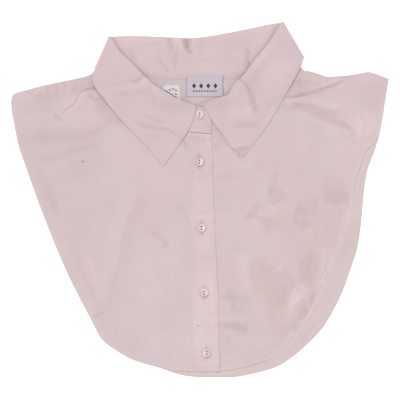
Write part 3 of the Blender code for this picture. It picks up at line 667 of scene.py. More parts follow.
def bandMiddle(x, y):
    above = (cloth["single"] + cloth["double"]) / 2 + 0.05
    level = frontMiddle(x, y) + neckLift(x, y) + above
    level = level + creased(x, y, buttonBand["creases"], buttonBand["seed"])[0]
    level += 0.05 * waves(x, y, 33, 11)
    for bx, by in buttonPlaces[1:]:
        away = np.hypot(x - bx, (y - by) * 0.8)
        level -= buttonBand["dimple"] * bell(away / buttonBand["dimpleWidth"])
    return level


# Materials

def feed(made, node, inputs):  # constants, or links from the outputs of other nodes
    for key, value in inputs.items():
        if isinstance(value, bpy.types.NodeSocket):
            made.node_tree.links.new(value, node.inputs[key])
        else:
            node.inputs[key].default_value = value


def add(made, kind, pick, inputs, **settings):  # a node with its inputs fed, for one of its outputs
    node = made.node_tree.nodes.new("ShaderNode" + kind)
    for key, value in settings.items():
        setattr(node, key, value)
    feed(made, node, inputs)
    return node.outputs[pick]


def newMaterial(name):
    made = bpy.data.materials.new(name)
    made.use_nodes = True
    return made, add(made, "TexCoord", "Object", {})


def finish(made, inputs):
    feed(made, made.node_tree.nodes["Principled BSDF"], inputs)
    return made


def rgba(colour, by=1.0):
    return (*[min(c * by, 1.0) for c in colour], 1.0)


def mixed(made, factor, first, second, blend="MIX"):
    return add(made, "Mix", 2, {"Factor": factor, 6: first, 7: second},
               data_type="RGBA", blend_type=blend)


def ramp(made, source, low, high, bottom=0.0, top=1.0):
    return add(made, "MapRange", "Result", {"Value": source, "From Min": low, "From Max": high,
                                            "To Min": bottom, "To Max": top})


def noise(made, where, scale, detail=3.0, rough=0.5, pick="Fac"):
    return add(made, "TexNoise", pick,
               {"Vector": where, "Scale": scale, "Detail": detail, "Roughness": rough})


def toned(made, colour):  # times the colour factors kept with the mesh, which carry painted shade and painted light
    shades = add(made, "Attribute", "Color", {}, attribute_name="tone")
    return mixed(made, 1.0, colour, shades, "MULTIPLY")


weaving = {
    "yarns": 1100.0,  # scale of the weave
    "slubs": (30.0, 1500.0),  # along and across a thick stretch of yarn
    "blotches": 22.0,
    "fuzz": 520.0,
    "deep": (0.968, 0.952, 0.958),
    "pale": 1.035,
    "between": 0.9,  # colour in the gaps between the yarns
    "dyeSize": 34.0,  # the dye has taken a little unevenly
    "dyeDrift": (0.07, 0.06, 0.08),
    "dyeLeast": (0.965, 0.97, 0.96),
    "yarnBump": 0.00008,
    "slubBump": 0.00025,
}


def shirting(name, colour, spots=()):  # fine plain weave with slubs
    made, where = newMaterial(name)
    uv = add(made, "UVMap", "UV", {}, uv_map="cloth")
    threads = [add(made, "TexWave", "Fac", {"Vector": uv, "Scale": weaving["yarns"],
                                            "Distortion": 1.6, "Detail": 1.0}, bands_direction=way)
               for way in ("X", "Y")]
    weave = add(made, "Math", "Value", dict(enumerate(threads)), operation="MULTIPLY")
    long, thin = weaving["slubs"]
    slubs = [noise(made, add(made, "Mapping", "Vector", {"Vector": uv, "Scale": scale}),
                   1.0, 3.0, 0.6) for scale in ((long, thin, 1.0), (thin, long, 1.0))]

    pale = rgba([c * weaving["pale"] + 0.004 for c in colour])
    deep = rgba([c * d for c, d in zip(colour, weaving["deep"])])
    blotch = noise(made, where, weaving["blotches"], 3.0, 0.55)
    tone = mixed(made, ramp(made, blotch, 0.3, 0.7), deep, pale)
    for slub in slubs:
        tone = mixed(made, ramp(made, slub, 0.52, 0.74, 0.0, 0.55), tone, pale)
        tone = mixed(made, ramp(made, slub, 0.42, 0.26, 0.0, 0.5), tone, deep)
    gaps = rgba(colour, weaving["between"])
    tone = mixed(made, ramp(made, weave, 0.35, 0.0, 0.0, 0.5), tone, gaps)
    for (x, y), size, stain, amount in spots:  # small marks on the cloth
        centred = add(made, "Mapping", "Vector", {
            "Vector": where, "Location": (-x / size, -y / size, 0.0),
            "Scale": (1 / (size * mm), 1 / (size * mm), 0.0)})
        ball = add(made, "TexGradient", "Fac", {"Vector": centred}, gradient_type="SPHERICAL")
        tone = mixed(made, ramp(made, ball, 0.0, 0.6, 0.0, amount), tone, rgba(stain))
    hue = noise(made, where, weaving["dyeSize"], 2.0, 0.5, "Color")
    drift = add(made, "VectorMath", "Vector", {0: hue, 1: weaving["dyeDrift"],
                                               2: weaving["dyeLeast"]}, operation="MULTIPLY_ADD")
    tone = toned(made, mixed(made, 1.0, tone, drift, "MULTIPLY"))

    slubby = add(made, "Math", "Value", dict(enumerate(slubs)), operation="ADD")
    yarns = add(made, "Bump", "Normal", {"Height": weave, "Strength": 0.5,
                                         "Distance": weaving["yarnBump"]})
    bumps = add(made, "Bump", "Normal", {"Height": slubby, "Strength": 0.35, "Normal": yarns,
                                         "Distance": weaving["slubBump"]})
    fuzz = noise(made, where, weaving["fuzz"], 2.0, 0.7)
    return finish(made, {
        "Base Color": tone, "Roughness": ramp(made, fuzz, 0.3, 0.7, 0.78, 0.92), "Normal": bumps,
        "Specular IOR Level": 0.3, "Sheen Weight": 0.12, "Sheen Roughness": 0.45})


def yarn(name, colour, roughness=0.7):  # twisted thread
    made, where = newMaterial(name)
    twist = add(made, "TexWave", "Fac", {"Vector": where, "Scale": 900.0},
                bands_direction="DIAGONAL")
    return finish(made, {
        "Base Color": mixed(made, twist, rgba(colour, 0.8), rgba(colour)), "Roughness": roughness,
        "Normal": add(made, "Bump", "Normal", {"Height": twist, "Strength": 0.4,
                                               "Distance": 0.0001}),
        "Specular IOR Level": 0.3})


def pearl(name, colour):  # cloudy resin with a soft lustre
    made, where = newMaterial(name)
    cloud = add(made, "TexNoise", "Fac", {"Vector": where, "Scale": 260.0, "Detail": 3.0,
                                          "Distortion": 1.6})
    return finish(made, {
        "Base Color": toned(made, mixed(made, cloud, rgba(colour, 0.94), rgba(colour, 1.1))),
        "Roughness": ramp(made, cloud, 0.0, 1.0, 0.24, 0.4),
        "Coat Weight": 0.25, "Coat Roughness": 0.2})


dye = {  # colours of the cloths as dyed
    "front": (0.668, 0.540, 0.549),
    "back": (0.672, 0.553, 0.552),
    "collar": (0.672, 0.534, 0.549),
    "band": (0.705, 0.566, 0.572),
    "thread": (0.72, 0.60, 0.61),
    # thread in the button holes, coloured dark as painted shade inside the holes
    "threadInHolesPaintedShade": (0.27, 0.19, 0.195),
    "label": (0.588, 0.533, 0.582),
    "sizeLabel": (0.765, 0.69, 0.70),
    "motif": (0.07, 0.06, 0.07),
    "pearl": (0.706, 0.566, 0.575),
    "frontSpots": [((-121.7, 40.0), 1.6, (0.36, 0.22, 0.09), 0.8)],  # place, size, colour, cover
    "bandSpots": [((-1.8, -130.9), 0.9, (0.12, 0.08, 0.09), 0.85)],
}
shirtingFront = shirting("cottonShirtingFront", dye["front"], dye["frontSpots"])
shirtingBack = shirting("cottonShirtingBack", dye["back"])
shirtingCollar = shirting("cottonShirtingCollar", dye["collar"])
shirtingBand = shirting("cottonShirtingBand", dye["band"], dye["bandSpots"])


# Making cloth

def meshOf(name, bm):
    mesh = bpy.data.meshes.new(name)
    bm.to_mesh(mesh)
    bm.free()
    return mesh


def linked(name, data):
    thing = bpy.data.objects.new(name, data)
    bpy.context.scene.collection.objects.link(thing)
    return thing


def shade(mesh, shades):  # keeps colour factors with each vertex
    colours = np.ones((len(mesh.vertices), 4))
    colours[:, :3] = shades
    kept = mesh.color_attributes.new("tone", "FLOAT_COLOR", "POINT")
    kept.data.foreach_set("color", colours.ravel())


def clothGrid(name, points, coords, material, wall, tone, holes=None, rounded=0.0):
    columns, rows = points.shape[0] - 1, points.shape[1] - 1
    bm = bmesh.new()
    bmesh.ops.create_grid(bm, x_segments=columns, y_segments=rows, size=0.5)
    bm.loops.layers.uv.new("cloth")
    if holes is not None:  # faces left out, by column and row
        middles = [(face, face.calc_center_median()) for face in bm.faces]
        gone = [face for face, middle in middles
                if holes[int((middle.x + 0.5) * columns), int((middle.y + 0.5) * rows)]]
        bmesh.ops.delete(bm, geom=gone, context="FACES")
    mesh = meshOf(name, bm)
    flat = np.empty(len(mesh.vertices) * 3)
    mesh.vertices.foreach_get("co", flat)
    flat = flat.reshape(-1, 3)
    i, j = [np.round((flat[:, k] + 0.5) * count).astype(int)
            for k, count in enumerate((columns, rows))]
    mesh.vertices.foreach_set("co", (points[i, j] * mm).ravel())
    corner = np.empty(len(mesh.loops), int)
    mesh.loops.foreach_get("vertex_index", corner)
    mesh.uv_layers["cloth"].data.foreach_set("uv", (coords[i, j][corner] * mm).ravel())
    shade(mesh, tone[i, j])
    mesh.update()
    return finished(name, mesh, material, wall, rounded)


def bevelled(piece, name, width, angle):
    edge = piece.modifiers.new(name, "BEVEL")
    edge.width, edge.segments, edge.profile = width * mm, 2, 0.5
    edge.limit_method, edge.angle_limit = "ANGLE", math.radians(angle)
    return edge


def finished(name, mesh, material, wall=0.0, rounded=0.0):
    piece = linked(name, mesh)
    mesh.materials.append(material)
    mesh.shade_smooth()
    if wall:
        ply = piece.modifiers.new("wall", "SOLIDIFY")
        ply.thickness, ply.offset, ply.use_even_offset = wall * mm, 0.0, True
        ply.use_quality_normals = True
    if rounded:
        bevelled(piece, "turnedEdge", rounded, 55).use_clamp_overlap = True
    return piece


def onPart(piece, slotName, *nodes):
    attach(piece, "root")
    if nodes:
        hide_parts(*nodes)
    return piece


hem = {
    "rows": (0.0, 0.6, 1.6, 2.8, 3.8, 4.4, 5.0, 5.8, 7.0),  # across the hem, from the edge
    "width": 5.2,
    # width of the painted highlight on the raised hem
    "paintedHighlightWidth": 5.6,
    "turn": 0.8,  # its inner edge falls to the cloth in this width
    "stitch": 4.3,  # its row of stitches, from the edge
    "stitchDip": 0.1,
    # colour factor of that painted highlight
    "tint": (1.014, 1.022, 1.02),
}


def panelPlan(piece, lower, upper, neck):  # plan of a panel ruled from hem to seam, and its depth
    columns, rows = piece["cells"]
    starts, ends = spaced(edges(*lower), columns), spaced(edges(*upper), columns)
    tuck = cloth["tuck"] * smooth(1 - awayFrom(*ends.T, neck) / 3)  # past its seam at the neck
    length, way = np.hypot(*(ends - starts).T), unit(ends - starts)
    edge = unit(np.gradient(starts, axis=0))
    slant = np.clip(np.abs(edge[:, 0] * way[:, 1] - edge[:, 1] * way[:, 0]), 0.3, 1.0)
    hemRows = np.array(hem["rows"])
    k = np.arange(len(hemRows))
    low = np.minimum(hemRows[None] / slant[:, None],
                     length[:, None] * 0.6 * k[None] / len(hemRows))
    t = np.linspace(0, 1, rows - len(hemRows) + 2)[1:]
    t = 1 - (1 - t) ** cloth["crowding"]
    high = low[:, -1:] + (length[:, None] + tuck[:, None] - low[:, -1:]) * t[None]
    reach = np.hstack([low, high])
    return starts[:, None] + way[:, None] * reach[:, :, None], reach * slant[:, None]


def hemRelief(x, y, depth, piece, seed):
    edge = smooth((hem["width"] - depth) / hem["turn"]) * (0.55 + 0.45 * smooth(depth / 1.2))
    pucker = 1 + piece["pucker"] / piece["hemHeight"] * waves(x, y, seed, 7)
    stitched = -hem["stitchDip"] * bell((depth - hem["stitch"]) / 0.5)
    return piece["hemHeight"] * edge * pucker + stitched


def hemTone(x, y, depth, tone, seed):  # painted highlight on the raised hems, uneven where they pucker
    paintedLight = smooth((hem["paintedHighlightWidth"] - depth) / hem["turn"]) * (1 + 0.6 * waves(x, y, seed, 6))
    return tone * (1 + paintedLight[..., None] * (np.array(hem["tint"]) - 1))


def paintedLightBeside(away, y, piece):  # painted light: a paler line beside an edge, most along its lower part
    (amount, more), (wide, narrow) = piece["paintedLight"], piece["paintedLightWidths"]
    lowDown = smooth((20 - y) / 30) * smooth((y + 172) / 10)
    return amount * bell(away / wide) + more * lowDown * bell(away / narrow)


def hemStitches(plan, depth):
    return np.array([[np.interp(hem["stitch"], d, p[:, k]) for k in (0, 1)]
                     for d, p in zip(depth, plan)])


print("back panel")
plan, depth = panelPlan(backPanel, ("armholeRight", "hemBack", "armholeLeft"),
                        ("shoulderRight", "backNeck", "backNeckToShoulder", "shoulderLeftEnd"),
                        "backNeck")
backHem = hemStitches(plan, depth)
x, y = plan[..., 0], plan[..., 1]
z = backMiddle(x, y) + hemRelief(x, y, depth, backPanel, 13)
paintedShading = creased(x, y, backPanel["creases"], backPanel["seed"])[1]
# painted shade behind the collar's turned edges and above the tab
paintedShading += backPanel["rollShade"] * bell(awayFrom(x, y, "rollRight", "rollLeft", "tabTop") / 1.3, 1.5)
tone = hemTone(x, y, depth, paintedShadingTone(paintedShading) * patchy(x, y, backPanel["patches"]), 14)
# painted light beside the left front's edge
tone *= 1 + paintedLightBeside(awayFrom(x, y, "frontLeftEdge"), y, backPanel)[..., None]
back = clothGrid("back", np.dstack([plan, z]), plan, shirtingBack, cloth["single"], tone)
onPart(back, "shirting", "back_panel")

print("fronts")


def front(name, lower, upper, neck, node, seed):
    plan, depth = panelPlan(frontPanels, lower, upper, neck)
    x, y = plan[..., 0], plan[..., 1]
    z = frontMiddle(x, y) + hemRelief(x, y, depth, frontPanels, seed)
    tone = hemTone(x, y, depth, frontTone(x, y), seed + 3)
    if name == "rightFront":
        z += neckLift(x, y)
    else:
        # painted light along the left front's edge
        tone *= 1 + paintedLightBeside(depth, y, frontPanels)[..., None]
    piece = clothGrid(name, np.dstack([plan, z]), plan, shirtingFront, cloth["single"], tone)
    return onPart(piece, "shirting", node), hemStitches(plan, depth)


rightFront, rightHem = front("rightFront", ("armholeRight", "hemRight"),
                             ("shoulderRight", "neckRight"), "neckRight", "front_right", 22)
leftFront, leftHem = front("leftFront", ("-frontLeftEdge",), ("-neckLeft", "shoulderLeft"),
                           "neckLeft", "front_left", 23)

print("button band")
rows = buttonBand["rows"]
inner, outer = spaced(edges("bandInner"), rows), spaced(edges("bandOuter"), rows)
buttonLine = np.array([(-0.6, 72.0), *buttonPlaces[1:], (7.6, -180.0)])[::-1]
middle = np.stack([np.interp(inner[:, 1], buttonLine[:, 1], buttonLine[:, 0]),
                   (inner[:, 1] + outer[:, 1]) / 2], axis=-1)
toInner, toOuter = [(*buttonBand["columns"], *buttonBand[key])
                    for key in ("innerColumns", "outerColumns")]
plan = np.array([middle + (inner - middle) * share for share in reversed(toInner)]
                + [middle + (outer - middle) * share for share in (0.0, *toOuter)])
centre = len(toInner)
plan = np.delete(plan, centre, axis=0)  # the two columns beside it bound the buttonholes
half = buttonBand["holeWidth"] / 2
plan[centre - 1, :, 0], plan[centre, :, 0] = middle[:, 0] - half, middle[:, 0] + half
x, y = plan[..., 0], plan[..., 1]
fromInner, fromOuter = x - inner[None, :, 0], outer[None, :, 0] - x
joinedSide = smooth(1 - fromInner / buttonBand["joinWidth"])
onFront = frontMiddle(x, y) + neckLift(x, y) - 0.1
z = bandMiddle(x, y) * (1 - joinedSide) + onFront * joinedSide
z += (smooth(1 - fromOuter / buttonBand["freeWidth"])
      * (buttonBand["freeEdge"] + buttonBand["bottomLift"] * smooth((-140 - y) / 40)))
stitchDip = sum(bell((away - far) / 0.7)
                for away, far in zip((fromOuter, fromInner), buttonBand["stitches"]))
z -= buttonBand["stitchDip"] * stitchDip
holes = np.zeros((len(plan) - 1, rows), bool)
# painted shade along the creases and the stitched grooves
paintedShading = creased(x, y, buttonBand["creases"], buttonBand["seed"])[1] + 0.15 * stitchDip
for bx, by in buttonPlaces[1:]:  # painted shadow round each button and painted shade at both ends of its buttonhole
    holes[centre - 1] |= (np.abs((middle[1:, 1] + middle[:-1, 1]) / 2 - by)
                          < buttonBand["holeLength"] / 2)
    paintedShading += 0.55 * bell((np.hypot(x - bx, y - by) - 5.2) / 1.3)
    paintedShading += 0.9 * bell((x - bx) / 2.2) * bell((np.abs(y - by) - 6.6) / 1.7)
# painted shade along the edge sewn to the right front
paintedShading += 0.3 * smooth(1 - fromInner / 6)
band = clothGrid("buttonBand", np.dstack([plan, z]), plan, shirtingBand, cloth["double"] * 0.8,
                 paintedShadingTone(paintedShading) * patchy(x, y, buttonBand["patches"]), holes, 0.14)
onPart(band, "shirting", "placket")

# The collar is a ring: the stand lies inside, the leaf turns over its top edge.
collar = {
    "standCells": (96, 76, 84, 40),  # round the right front, the back and the left front, and down
    "leafCells": (110, 76, 110, 50),
    "creaseSteps": 9,
    "rollSteps": 9,
    "creaseBlend": 14.0,
    "return": 1.0,
    "leafJoined": 35.5,  # on the wearer's right the shoulder comes out of the crease below this
    "rollLift": 0.9,  # opening of the turned edge over each front
    "rise": 2.3,  # how far the folded collar stands up along it
    "riseReach": 24.0,
    "tabCentre": (1.0, 86.0),
    "snugReach": 34.0,  # round the buttoned tab all layers lie close
    "snug": 0.62,
    "puff": 0.35,
    "edgeLift": (1.1, 0.3),  # of the leaf's outer edge near each shoulder
    "liftFade": ((85.0, 60.0), (52.0, 22.0)),  # where that lift ends, and in what length
    "bowReach": 60.0,
    "edgeRound": 0.16,
    "rollShade": (("rollRight", 1.6), ("rollLeft", 1.8)),  # painted shade inside the folded edge
    "rollShadeWidth": 2.1,
    "buttonShade": (0.4, 6.4, 0.9),  # amount, distance and width of the painted shadow round its button
    "turnPaintedShade": (0.03, 0.05),  # painted shade: the turned edges are painted a little darker than the leaf
    # painted shade along the leaf's outer edge on the wearer's right, painted light on the left
    "rimPaintedShading": 0.955,
    "seeds": (41, 51),  # of the stand's creases, and the leaf's
    "standCreases": [
        ([(-34.5, 172), (-33, 166.2), (-30.9, 159.4), (-30.4, 150)], 1.6, -1, 1.4),
        ([(-17, 174), (-14.3, 165), (-11.3, 158), (-7.3, 147)], 2.6, -0.8, 0.9),
        ([(-24.5, 169.5), (-21.5, 162), (-18, 154)], 2.4, 0.5, -0.35),
        ([(-25.6, 158), (-25.2, 147), (-25.2, 132)], 2.4, -0.9, 1),
        ([(-42.5, 155), (-41.6, 150.8), (-41, 144.5), (-38.2, 141), (-35.8, 136.4), (-33.5, 132.4),
          (-31.5, 127)], 1.5, -0.9, 0.9),
        ([(-35.2, 138), (-33.7, 134.5), (-32.5, 131)], 1.5, -0.4, 0.9),
        ([(-32, 148), (-32.5, 138), (-30, 130)], 4, 0.3, -0.25),
        ([(2.5, 170), (2.5, 160), (3, 152)], 3.2, -0.2, 0.3),
        ([(-72.8, 159), (-70.7, 151.8), (-68.6, 142)], 2.4, -1, 0.8),
        ([(-1, 169), (1, 158.1), (0, 146)], 2.6, -0.5, 0.25),
        ([(51.2, 163), (49.9, 153), (50.4, 145.6), (51, 138), (51.5, 128)], 2, -1.2, 2),
        ([(78.6, 185), (76.2, 174.7), (73, 164)], 2.2, -0.7, 0.9),
        ([(-4.2, 145.1), (6.2, 145.6), (18.7, 145.1)], 1.6, -0.4, 0.3),
        ([(26, 156), (33.3, 153.9), (41.6, 156)], 3.5, -0.4, 0.1),
        ([(-52, 162.2), (-47.8, 149.8), (-49.9, 137.3)], 6, 0.6, -0.15),
        ([(-12.5, 79), (-1, 76.4), (10.4, 77)], 3.2, 0.35),
        ([(-7, 99.6), (-2, 98.9), (4.6, 97.2), (7.4, 94.6)], 1.1, -0.1, 1.8),
    ],
    "leafCreases": [
        ([(-77, 120.1), (-69.5, 120.8), (-63.4, 123.8), (-56.5, 130.5)], 1.8, -1.3, 1.1),
        ([(-93, 119.6), (-83.2, 120.6), (-71, 119.4)], 2.6, -0.7, 0.35),
        ([(-52.5, 129.5), (-50.5, 119.6), (-50.6, 111.3), (-48.4, 100.9), (-47.4, 88)], 1.5, -0.5,
          0.5),
        ([(-44.7, 120.6), (-43.7, 109.2), (-40.6, 95.7)], 4, 0.5, -0.15),
        ([(-91.5, 112.3), (-79, 109.7), (-66.6, 109.2), (-53, 112.3)], 3.4, -0.6, 0.3),
        ([(-77, 85), (-67.6, 81.3), (-57.2, 77), (-48.7, 74.3), (-34.5, 71.9), (-26, 68.1),
          (-18, 63.5), (-11, 59)], 2.1, -1, 0.9),
        ([(-62, 88.5), (-55.7, 86.5), (-47, 84), (-39.2, 81.3), (-33, 78.5)], 1.5, -0.7, 0.8),
        ([(-74.9, 77), (-56.2, 72.8), (-35.4, 64.5)], 6, 0.5),
        ([(-45.8, 95.7), (-31.2, 91.5), (-16.7, 84.3)], 4, -0.2, 0.1),
        ([(-99.8, 135.2), (-93.6, 119.6), (-83.2, 101.9)], 9, 0.5),
        ([(30, 132), (35, 129.3), (40.3, 125.8), (45.2, 121.8), (49, 117), (51.4, 112), (53, 107.5),
          (54.2, 102)], 1.2, -0.35, 1.7),
        ([(48, 120), (51, 113), (53.6, 106), (55.4, 99), (56.4, 91)], 2.3, -0.15, 0.8),
        ([(35.4, 118.6), (42.6, 109.2), (46.8, 97.8)], 5, 0.5, -0.15),
        ([(51, 121.7), (59.3, 110.2), (63.4, 95.7)], 5, 0.4),
        ([(29.5, 75.4), (41.6, 77.4), (55.1, 78), (68, 75.9)], 3.6, -0.3, 0.5),
        ([(31.2, 69.7), (47.8, 71.8), (64.5, 71.8)], 4, 0.4, -0.15),
        ([(22.9, 62.4), (29.1, 54.9), (39.5, 55.3), (51, 55.1)], 3, 0.7, 0, 0.2),
        ([(72.8, 145.6), (80.1, 133.1), (83.2, 120.6)], 8, 0.4),
        ([(64.5, 91.5), (74.9, 97.8), (85.3, 108.2)], 3.5, -0.5, 0.3),
        ([(-7, 99.6), (-2, 98.9), (4.6, 97.2), (7.4, 94.6)], 1.1, -0.1, 1.8),
    ],
    # painted shade and painted light in patches on the stand
    "standPatches": [
        ([(-18.2, 169.5), (-9.4, 169.5), (-9.2, 158.5), (-7.4, 151.4), (-10.2, 152), (-14.2, 159)],
          1.5, (0.845, 0.82, 0.8)),
        ([(-14.6, 75.9), (0, 74.9), (0, 71.8), (-13.5, 72.3)], 0.9, (1.06, 1.03, 1.035)),
        ([(6.2, 85.3), (12.5, 85.3), (12.5, 74.9), (4.2, 73.8)], 1.8, (0.99, 0.96, 0.945)),
        ([(12.4, 84), (16, 82), (25, 70), (24, 66), (12.4, 66)], 1, (0.965, 0.915, 0.91)),
    ],
    # painted shade and painted light in patches on the leaf
    "leafPatches": [
        ([(29.1, 55.1), (39.5, 55.5), (51, 55.1), (37.4, 37.4)], 0.8, (0.93, 0.905, 0.92)),
        ([(49, 117.5), (51.2, 116.5), (54.6, 111), (57.2, 105), (59, 99.8), (59.8, 95), (58.6, 92),
          (56, 92), (54.2, 97), (52.4, 104), (50.4, 111)], 2, (0.885, 0.87, 0.87)),
        ([(26, 106), (34, 117), (43, 117), (49.5, 107), (53, 96), (50, 86), (32, 88)], 6,
          (1.045, 1.05, 1.05)),
        ([(34.3, 78.5), (41.6, 78), (50, 80), (64.5, 78.5), (67.6, 75.9), (57.2, 73.3),
          (39.5, 73.3)], 1.4, (0.965, 0.965, 0.965)),
        ([(64.5, 166.4), (93.6, 145.6), (83.2, 114.4), (64.5, 120.6), (58.2, 145.6)], 8,
          (1.03, 1.03, 1.04)),
        ([(-25, 99.8), (-4.2, 97.8), (-10.4, 77), (-25, 87.4)], 5, (1.01, 1, 1.005)),
    ],
}
ringLevel = cloth["layer"] * 2 - cloth["gap"] / 2
crease = cloth["layer"] / 2
backEnds = [np.array(outline["rollBack"][end]) for end in (0, -1)]


def creaseFrame(corner, neck):  # down a side crease, and straight out from it
    down = np.subtract(neck, corner)
    down /= np.hypot(*down)
    out = np.array([-down[1], down[0]])
    return down, out if out[0] * corner[0] > 0 else -out


def ringStations(tops, bottoms, creaseEnds, counts):
    frames = [creaseFrame(backEnds[0], outline["backNeck"][0]),
              creaseFrame(backEnds[1], outline["backNeckEnd"][-1])]
    steps = collar["creaseSteps"]
    rows = []  # top, dip, bottom, normal, side
    for k, (side, turn) in enumerate(((1, 1), (0, -1), (2, 1))):
        lines = [joined(curves) for curves in (tops[k], bottoms[k])]
        top, bottom = [walk(line, np.linspace(0, reachOf(line)[-1], counts[k] + 1))
                       for line in lines]
        dip = across(top, turn)
        for corner, (down, _) in zip(backEnds, frames):
            near = smooth(1 - np.hypot(*(top - corner).T) / collar["creaseBlend"])[:, None]
            dip = unit(dip * (1 - near) + down * near)
        up = 1.0 if side else -1.0
        rows += [(t, d, b, (0.0, 0.0, up), side) for t, d, b in zip(top, dip, bottom)]
        if k < 2:
            down, out = frames[k]
            for step in range(1, steps):
                angle = math.pi * step / steps
                angle = math.pi - angle if k else angle
                normal = (*(out * math.sin(angle)), math.cos(angle))
                rows.append((top[-1], down, top[-1] + down * creaseEnds[k], normal, 0))
    return [np.array(part) for part in zip(*rows)]


def fromBackEnds(x, y):
    return np.min([np.hypot(x - end[0], y - end[1]) for end in backEnds], axis=0)


def fromTab(x, y):
    return np.hypot(x - collar["tabCentre"][0], y - collar["tabCentre"][1])


def collarRise(top, side):  # how high the turned edge of each front stands up
    ends = smooth(fromBackEnds(*top.T) / 45) * smooth((fromTab(*top.T) - 12) / 34)
    return collar["rise"] * np.where(side > 0, ends, 0.0)


def standBase(x, y, side):  # middle of the ring, with the stand one way and the leaf the other
    level = cloth["layer"] + backLevel(x, y) - cloth["gap"] / 2
    return np.where(side > 0, level + tabLift(x, y) * (side == 1), ringLevel)


def closer(rows, pull):  # shares of the way down, closer together at both ends
    share = np.linspace(0, 1, rows + 1)
    return share - pull * np.sin(2 * np.pi * share) / (2 * np.pi)


print("collar stand")
tabCorner = [outline["tabTop"][-1], outline["rollRight"][1]]
top, dip, bottom, normal, side = ringStations(
    [[outline["tabTop"], tabCorner, outline["rollRight"][1:]], edges("rollBack"),
     edges("rollLeft", "underTabTop")],
    [edges("tabBottom", "-neckRight"), edges("backNeck", "backNeckEnd"),
     edges("neckLeftEnd", "neckLeft")],
    [math.dist(outline["rollBack"][0], outline["backNeck"][0]),
     math.dist(outline["rollBack"][-1], outline["backNeckEnd"][-1])],
    collar["standCells"][:3])
tabPart = smooth((top[:, 0] + 9) / 4) * (side == 1)
start = top + dip * (1.5 * (1 - tabPart))[:, None]
share = closer(collar["standCells"][3], 0.25)
plan = start[:, None] + (bottom - start)[:, None] * share[None, :, None]
ringSide = np.broadcast_to(side[:, None], plan.shape[:2])
x, y = plan[..., 0], plan[..., 1]
z = standBase(x, y, ringSide) + normal[:, None, 2] * crease
z += collarRise(top, side)[:, None] * (1 - smooth(share / 0.8))[None]
inCrease = (np.abs(normal[:, 2]) < 0.99)[:, None]
nearCorner = smooth(fromBackEnds(x, y) / 16)
behind = (ringSide == 0) & ~inCrease
seamPull = smooth(share / 0.12) * smooth((1 - share) / 0.16)
z += np.where(behind, 0.7 * seamPull[None] * nearCorner, 0.0)
relief, paintedShading = creased(x, y, collar["standCreases"], collar["seeds"][0])
relief = relief + 0.09 * waves(x, y, 43, 15)
settled = smooth(share / 0.05 + 0.3)[None] * np.where(ringSide == 0, nearCorner, 1.0)
z += np.where(inCrease, 0.0, relief * settled)
# painted shade inside the folded edges
for name, amount in collar["rollShade"]:
    away = awayFrom(x, y, name, steps=12)
    paintedShading = paintedShading + amount * behind * bell(away / collar["rollShadeWidth"], 1.3)
# painted shadow round the top button
bx, by = buttonPlaces[0]
amount, far, wide = collar["buttonShade"]
ring = bell((np.hypot(x - bx, y - by) - far) / wide)
paintedShading = paintedShading + amount * ring * (ringSide == 1) * (x > bx)
# painted shade along the seam at the stand's lower edge
paintedShading = paintedShading + 0.12 * behind * bell((1 - share[None]) * 40 / 1.6)
coords = np.dstack([np.broadcast_to(reachOf(top)[:, None], x.shape),
                    share[None] * np.hypot(*(bottom - start).T)[:, None]])
points = np.dstack([plan + normal[:, None, :2] * crease, z])
stand = clothGrid("collarStand", points, coords, shirtingCollar, cloth["double"],
                  paintedShadingTone(paintedShading) * patchy(x, y, collar["standPatches"], 65),
                  rounded=collar["edgeRound"])
onPart(stand, "shirting", "collar_stand")

print("collar leaf")
top, dip, bottom, normal, side = ringStations(
    [edges("rollRight"), edges("rollBack"), edges("rollLeft")],
    [edges("leafEdgeRight"), edges("leafEdgeBack"), edges("leafEdgeLeft")],
    [collar["leafJoined"], math.dist(outline["rollBack"][-1], outline["leafEdgeBack"][-1])],
    collar["leafCells"][:3])
fromCorner = np.where(side > 0, fromBackEnds(*top.T), 0.0)
snug = smooth(1 - fromTab(*top.T) / collar["snugReach"]) * (side > 0)
rise = collarRise(top, side)
overTab = np.where(side == 2, tabLift(*top.T), 0.0)
rollLift = collar["rollLift"] * smooth(fromCorner / 45)
half = (cloth["layer"] + overTab + rollLift * (1 - snug) - collar["snug"] * snug) / 2
outerReach = (cloth["layer"] + overTab) / 2 + cloth["middle"]
rows = collar["leafCells"][3]
share = closer(rows, 0.3)
near = top + dip * outerReach[:, None]
plan = near[:, None] + (bottom - near)[:, None] * (1 - share)[None, :, None]
for number, name in ((1, "leafFrontRight"), (2, "leafFrontLeft")):  # each front edge is bowed
    edge = smoothLine(outline[name])
    straight = edge[0] + (edge[-1] - edge[0]) * (1 - share)[:, None]
    away = walk(edge, (1 - share) * reachOf(edge)[-1]) - straight
    fade = np.clip(1 - np.hypot(*(top - edge[0]).T) / collar["bowReach"], 0, 1) ** 2
    plan += (fade * (side == number))[:, None, None] * away[None]
ringSide = np.broadcast_to(side[:, None], plan.shape[:2])
x, y = plan[..., 0], plan[..., 1]
length = np.hypot(*(bottom - near).T)[:, None]
fromEdge, fromRoll = share[None] * length, (1 - share)[None] * length
over = np.zeros(x.shape)  # how far out past the neck seam
for number, seam, roll in ((1, edges("neckRight"), smoothLine(outline["rollRight"])),
                           (2, edges("neckLeftEnd", "neckLeft"),
                            smoothLine(outline["rollLeft"])[::-1])):
    seam = joined(seam)
    out = np.where(inside(x, y, np.vstack([seam, roll])), 0.0, besideLine(x, y, seam)[0])
    over = np.where(ringSide == number, out, over)
level = cloth["layer"] + backLevel(x, y) + cloth["middle"] + tabLift(x, y)
resting = frontMiddle(x, y) + (cloth["single"] + cloth["double"]) / 2 + 0.06
free = 1 - smooth(1 - fromTab(x, y) / collar["snugReach"])
extra = rollLift[:, None] * (1 - smooth(fromRoll / 16))
extra = extra + collar["puff"] * bell((fromRoll - 6) / 5)
extra += rise[:, None] * (1 - smooth(fromRoll / collar["riseReach"]))
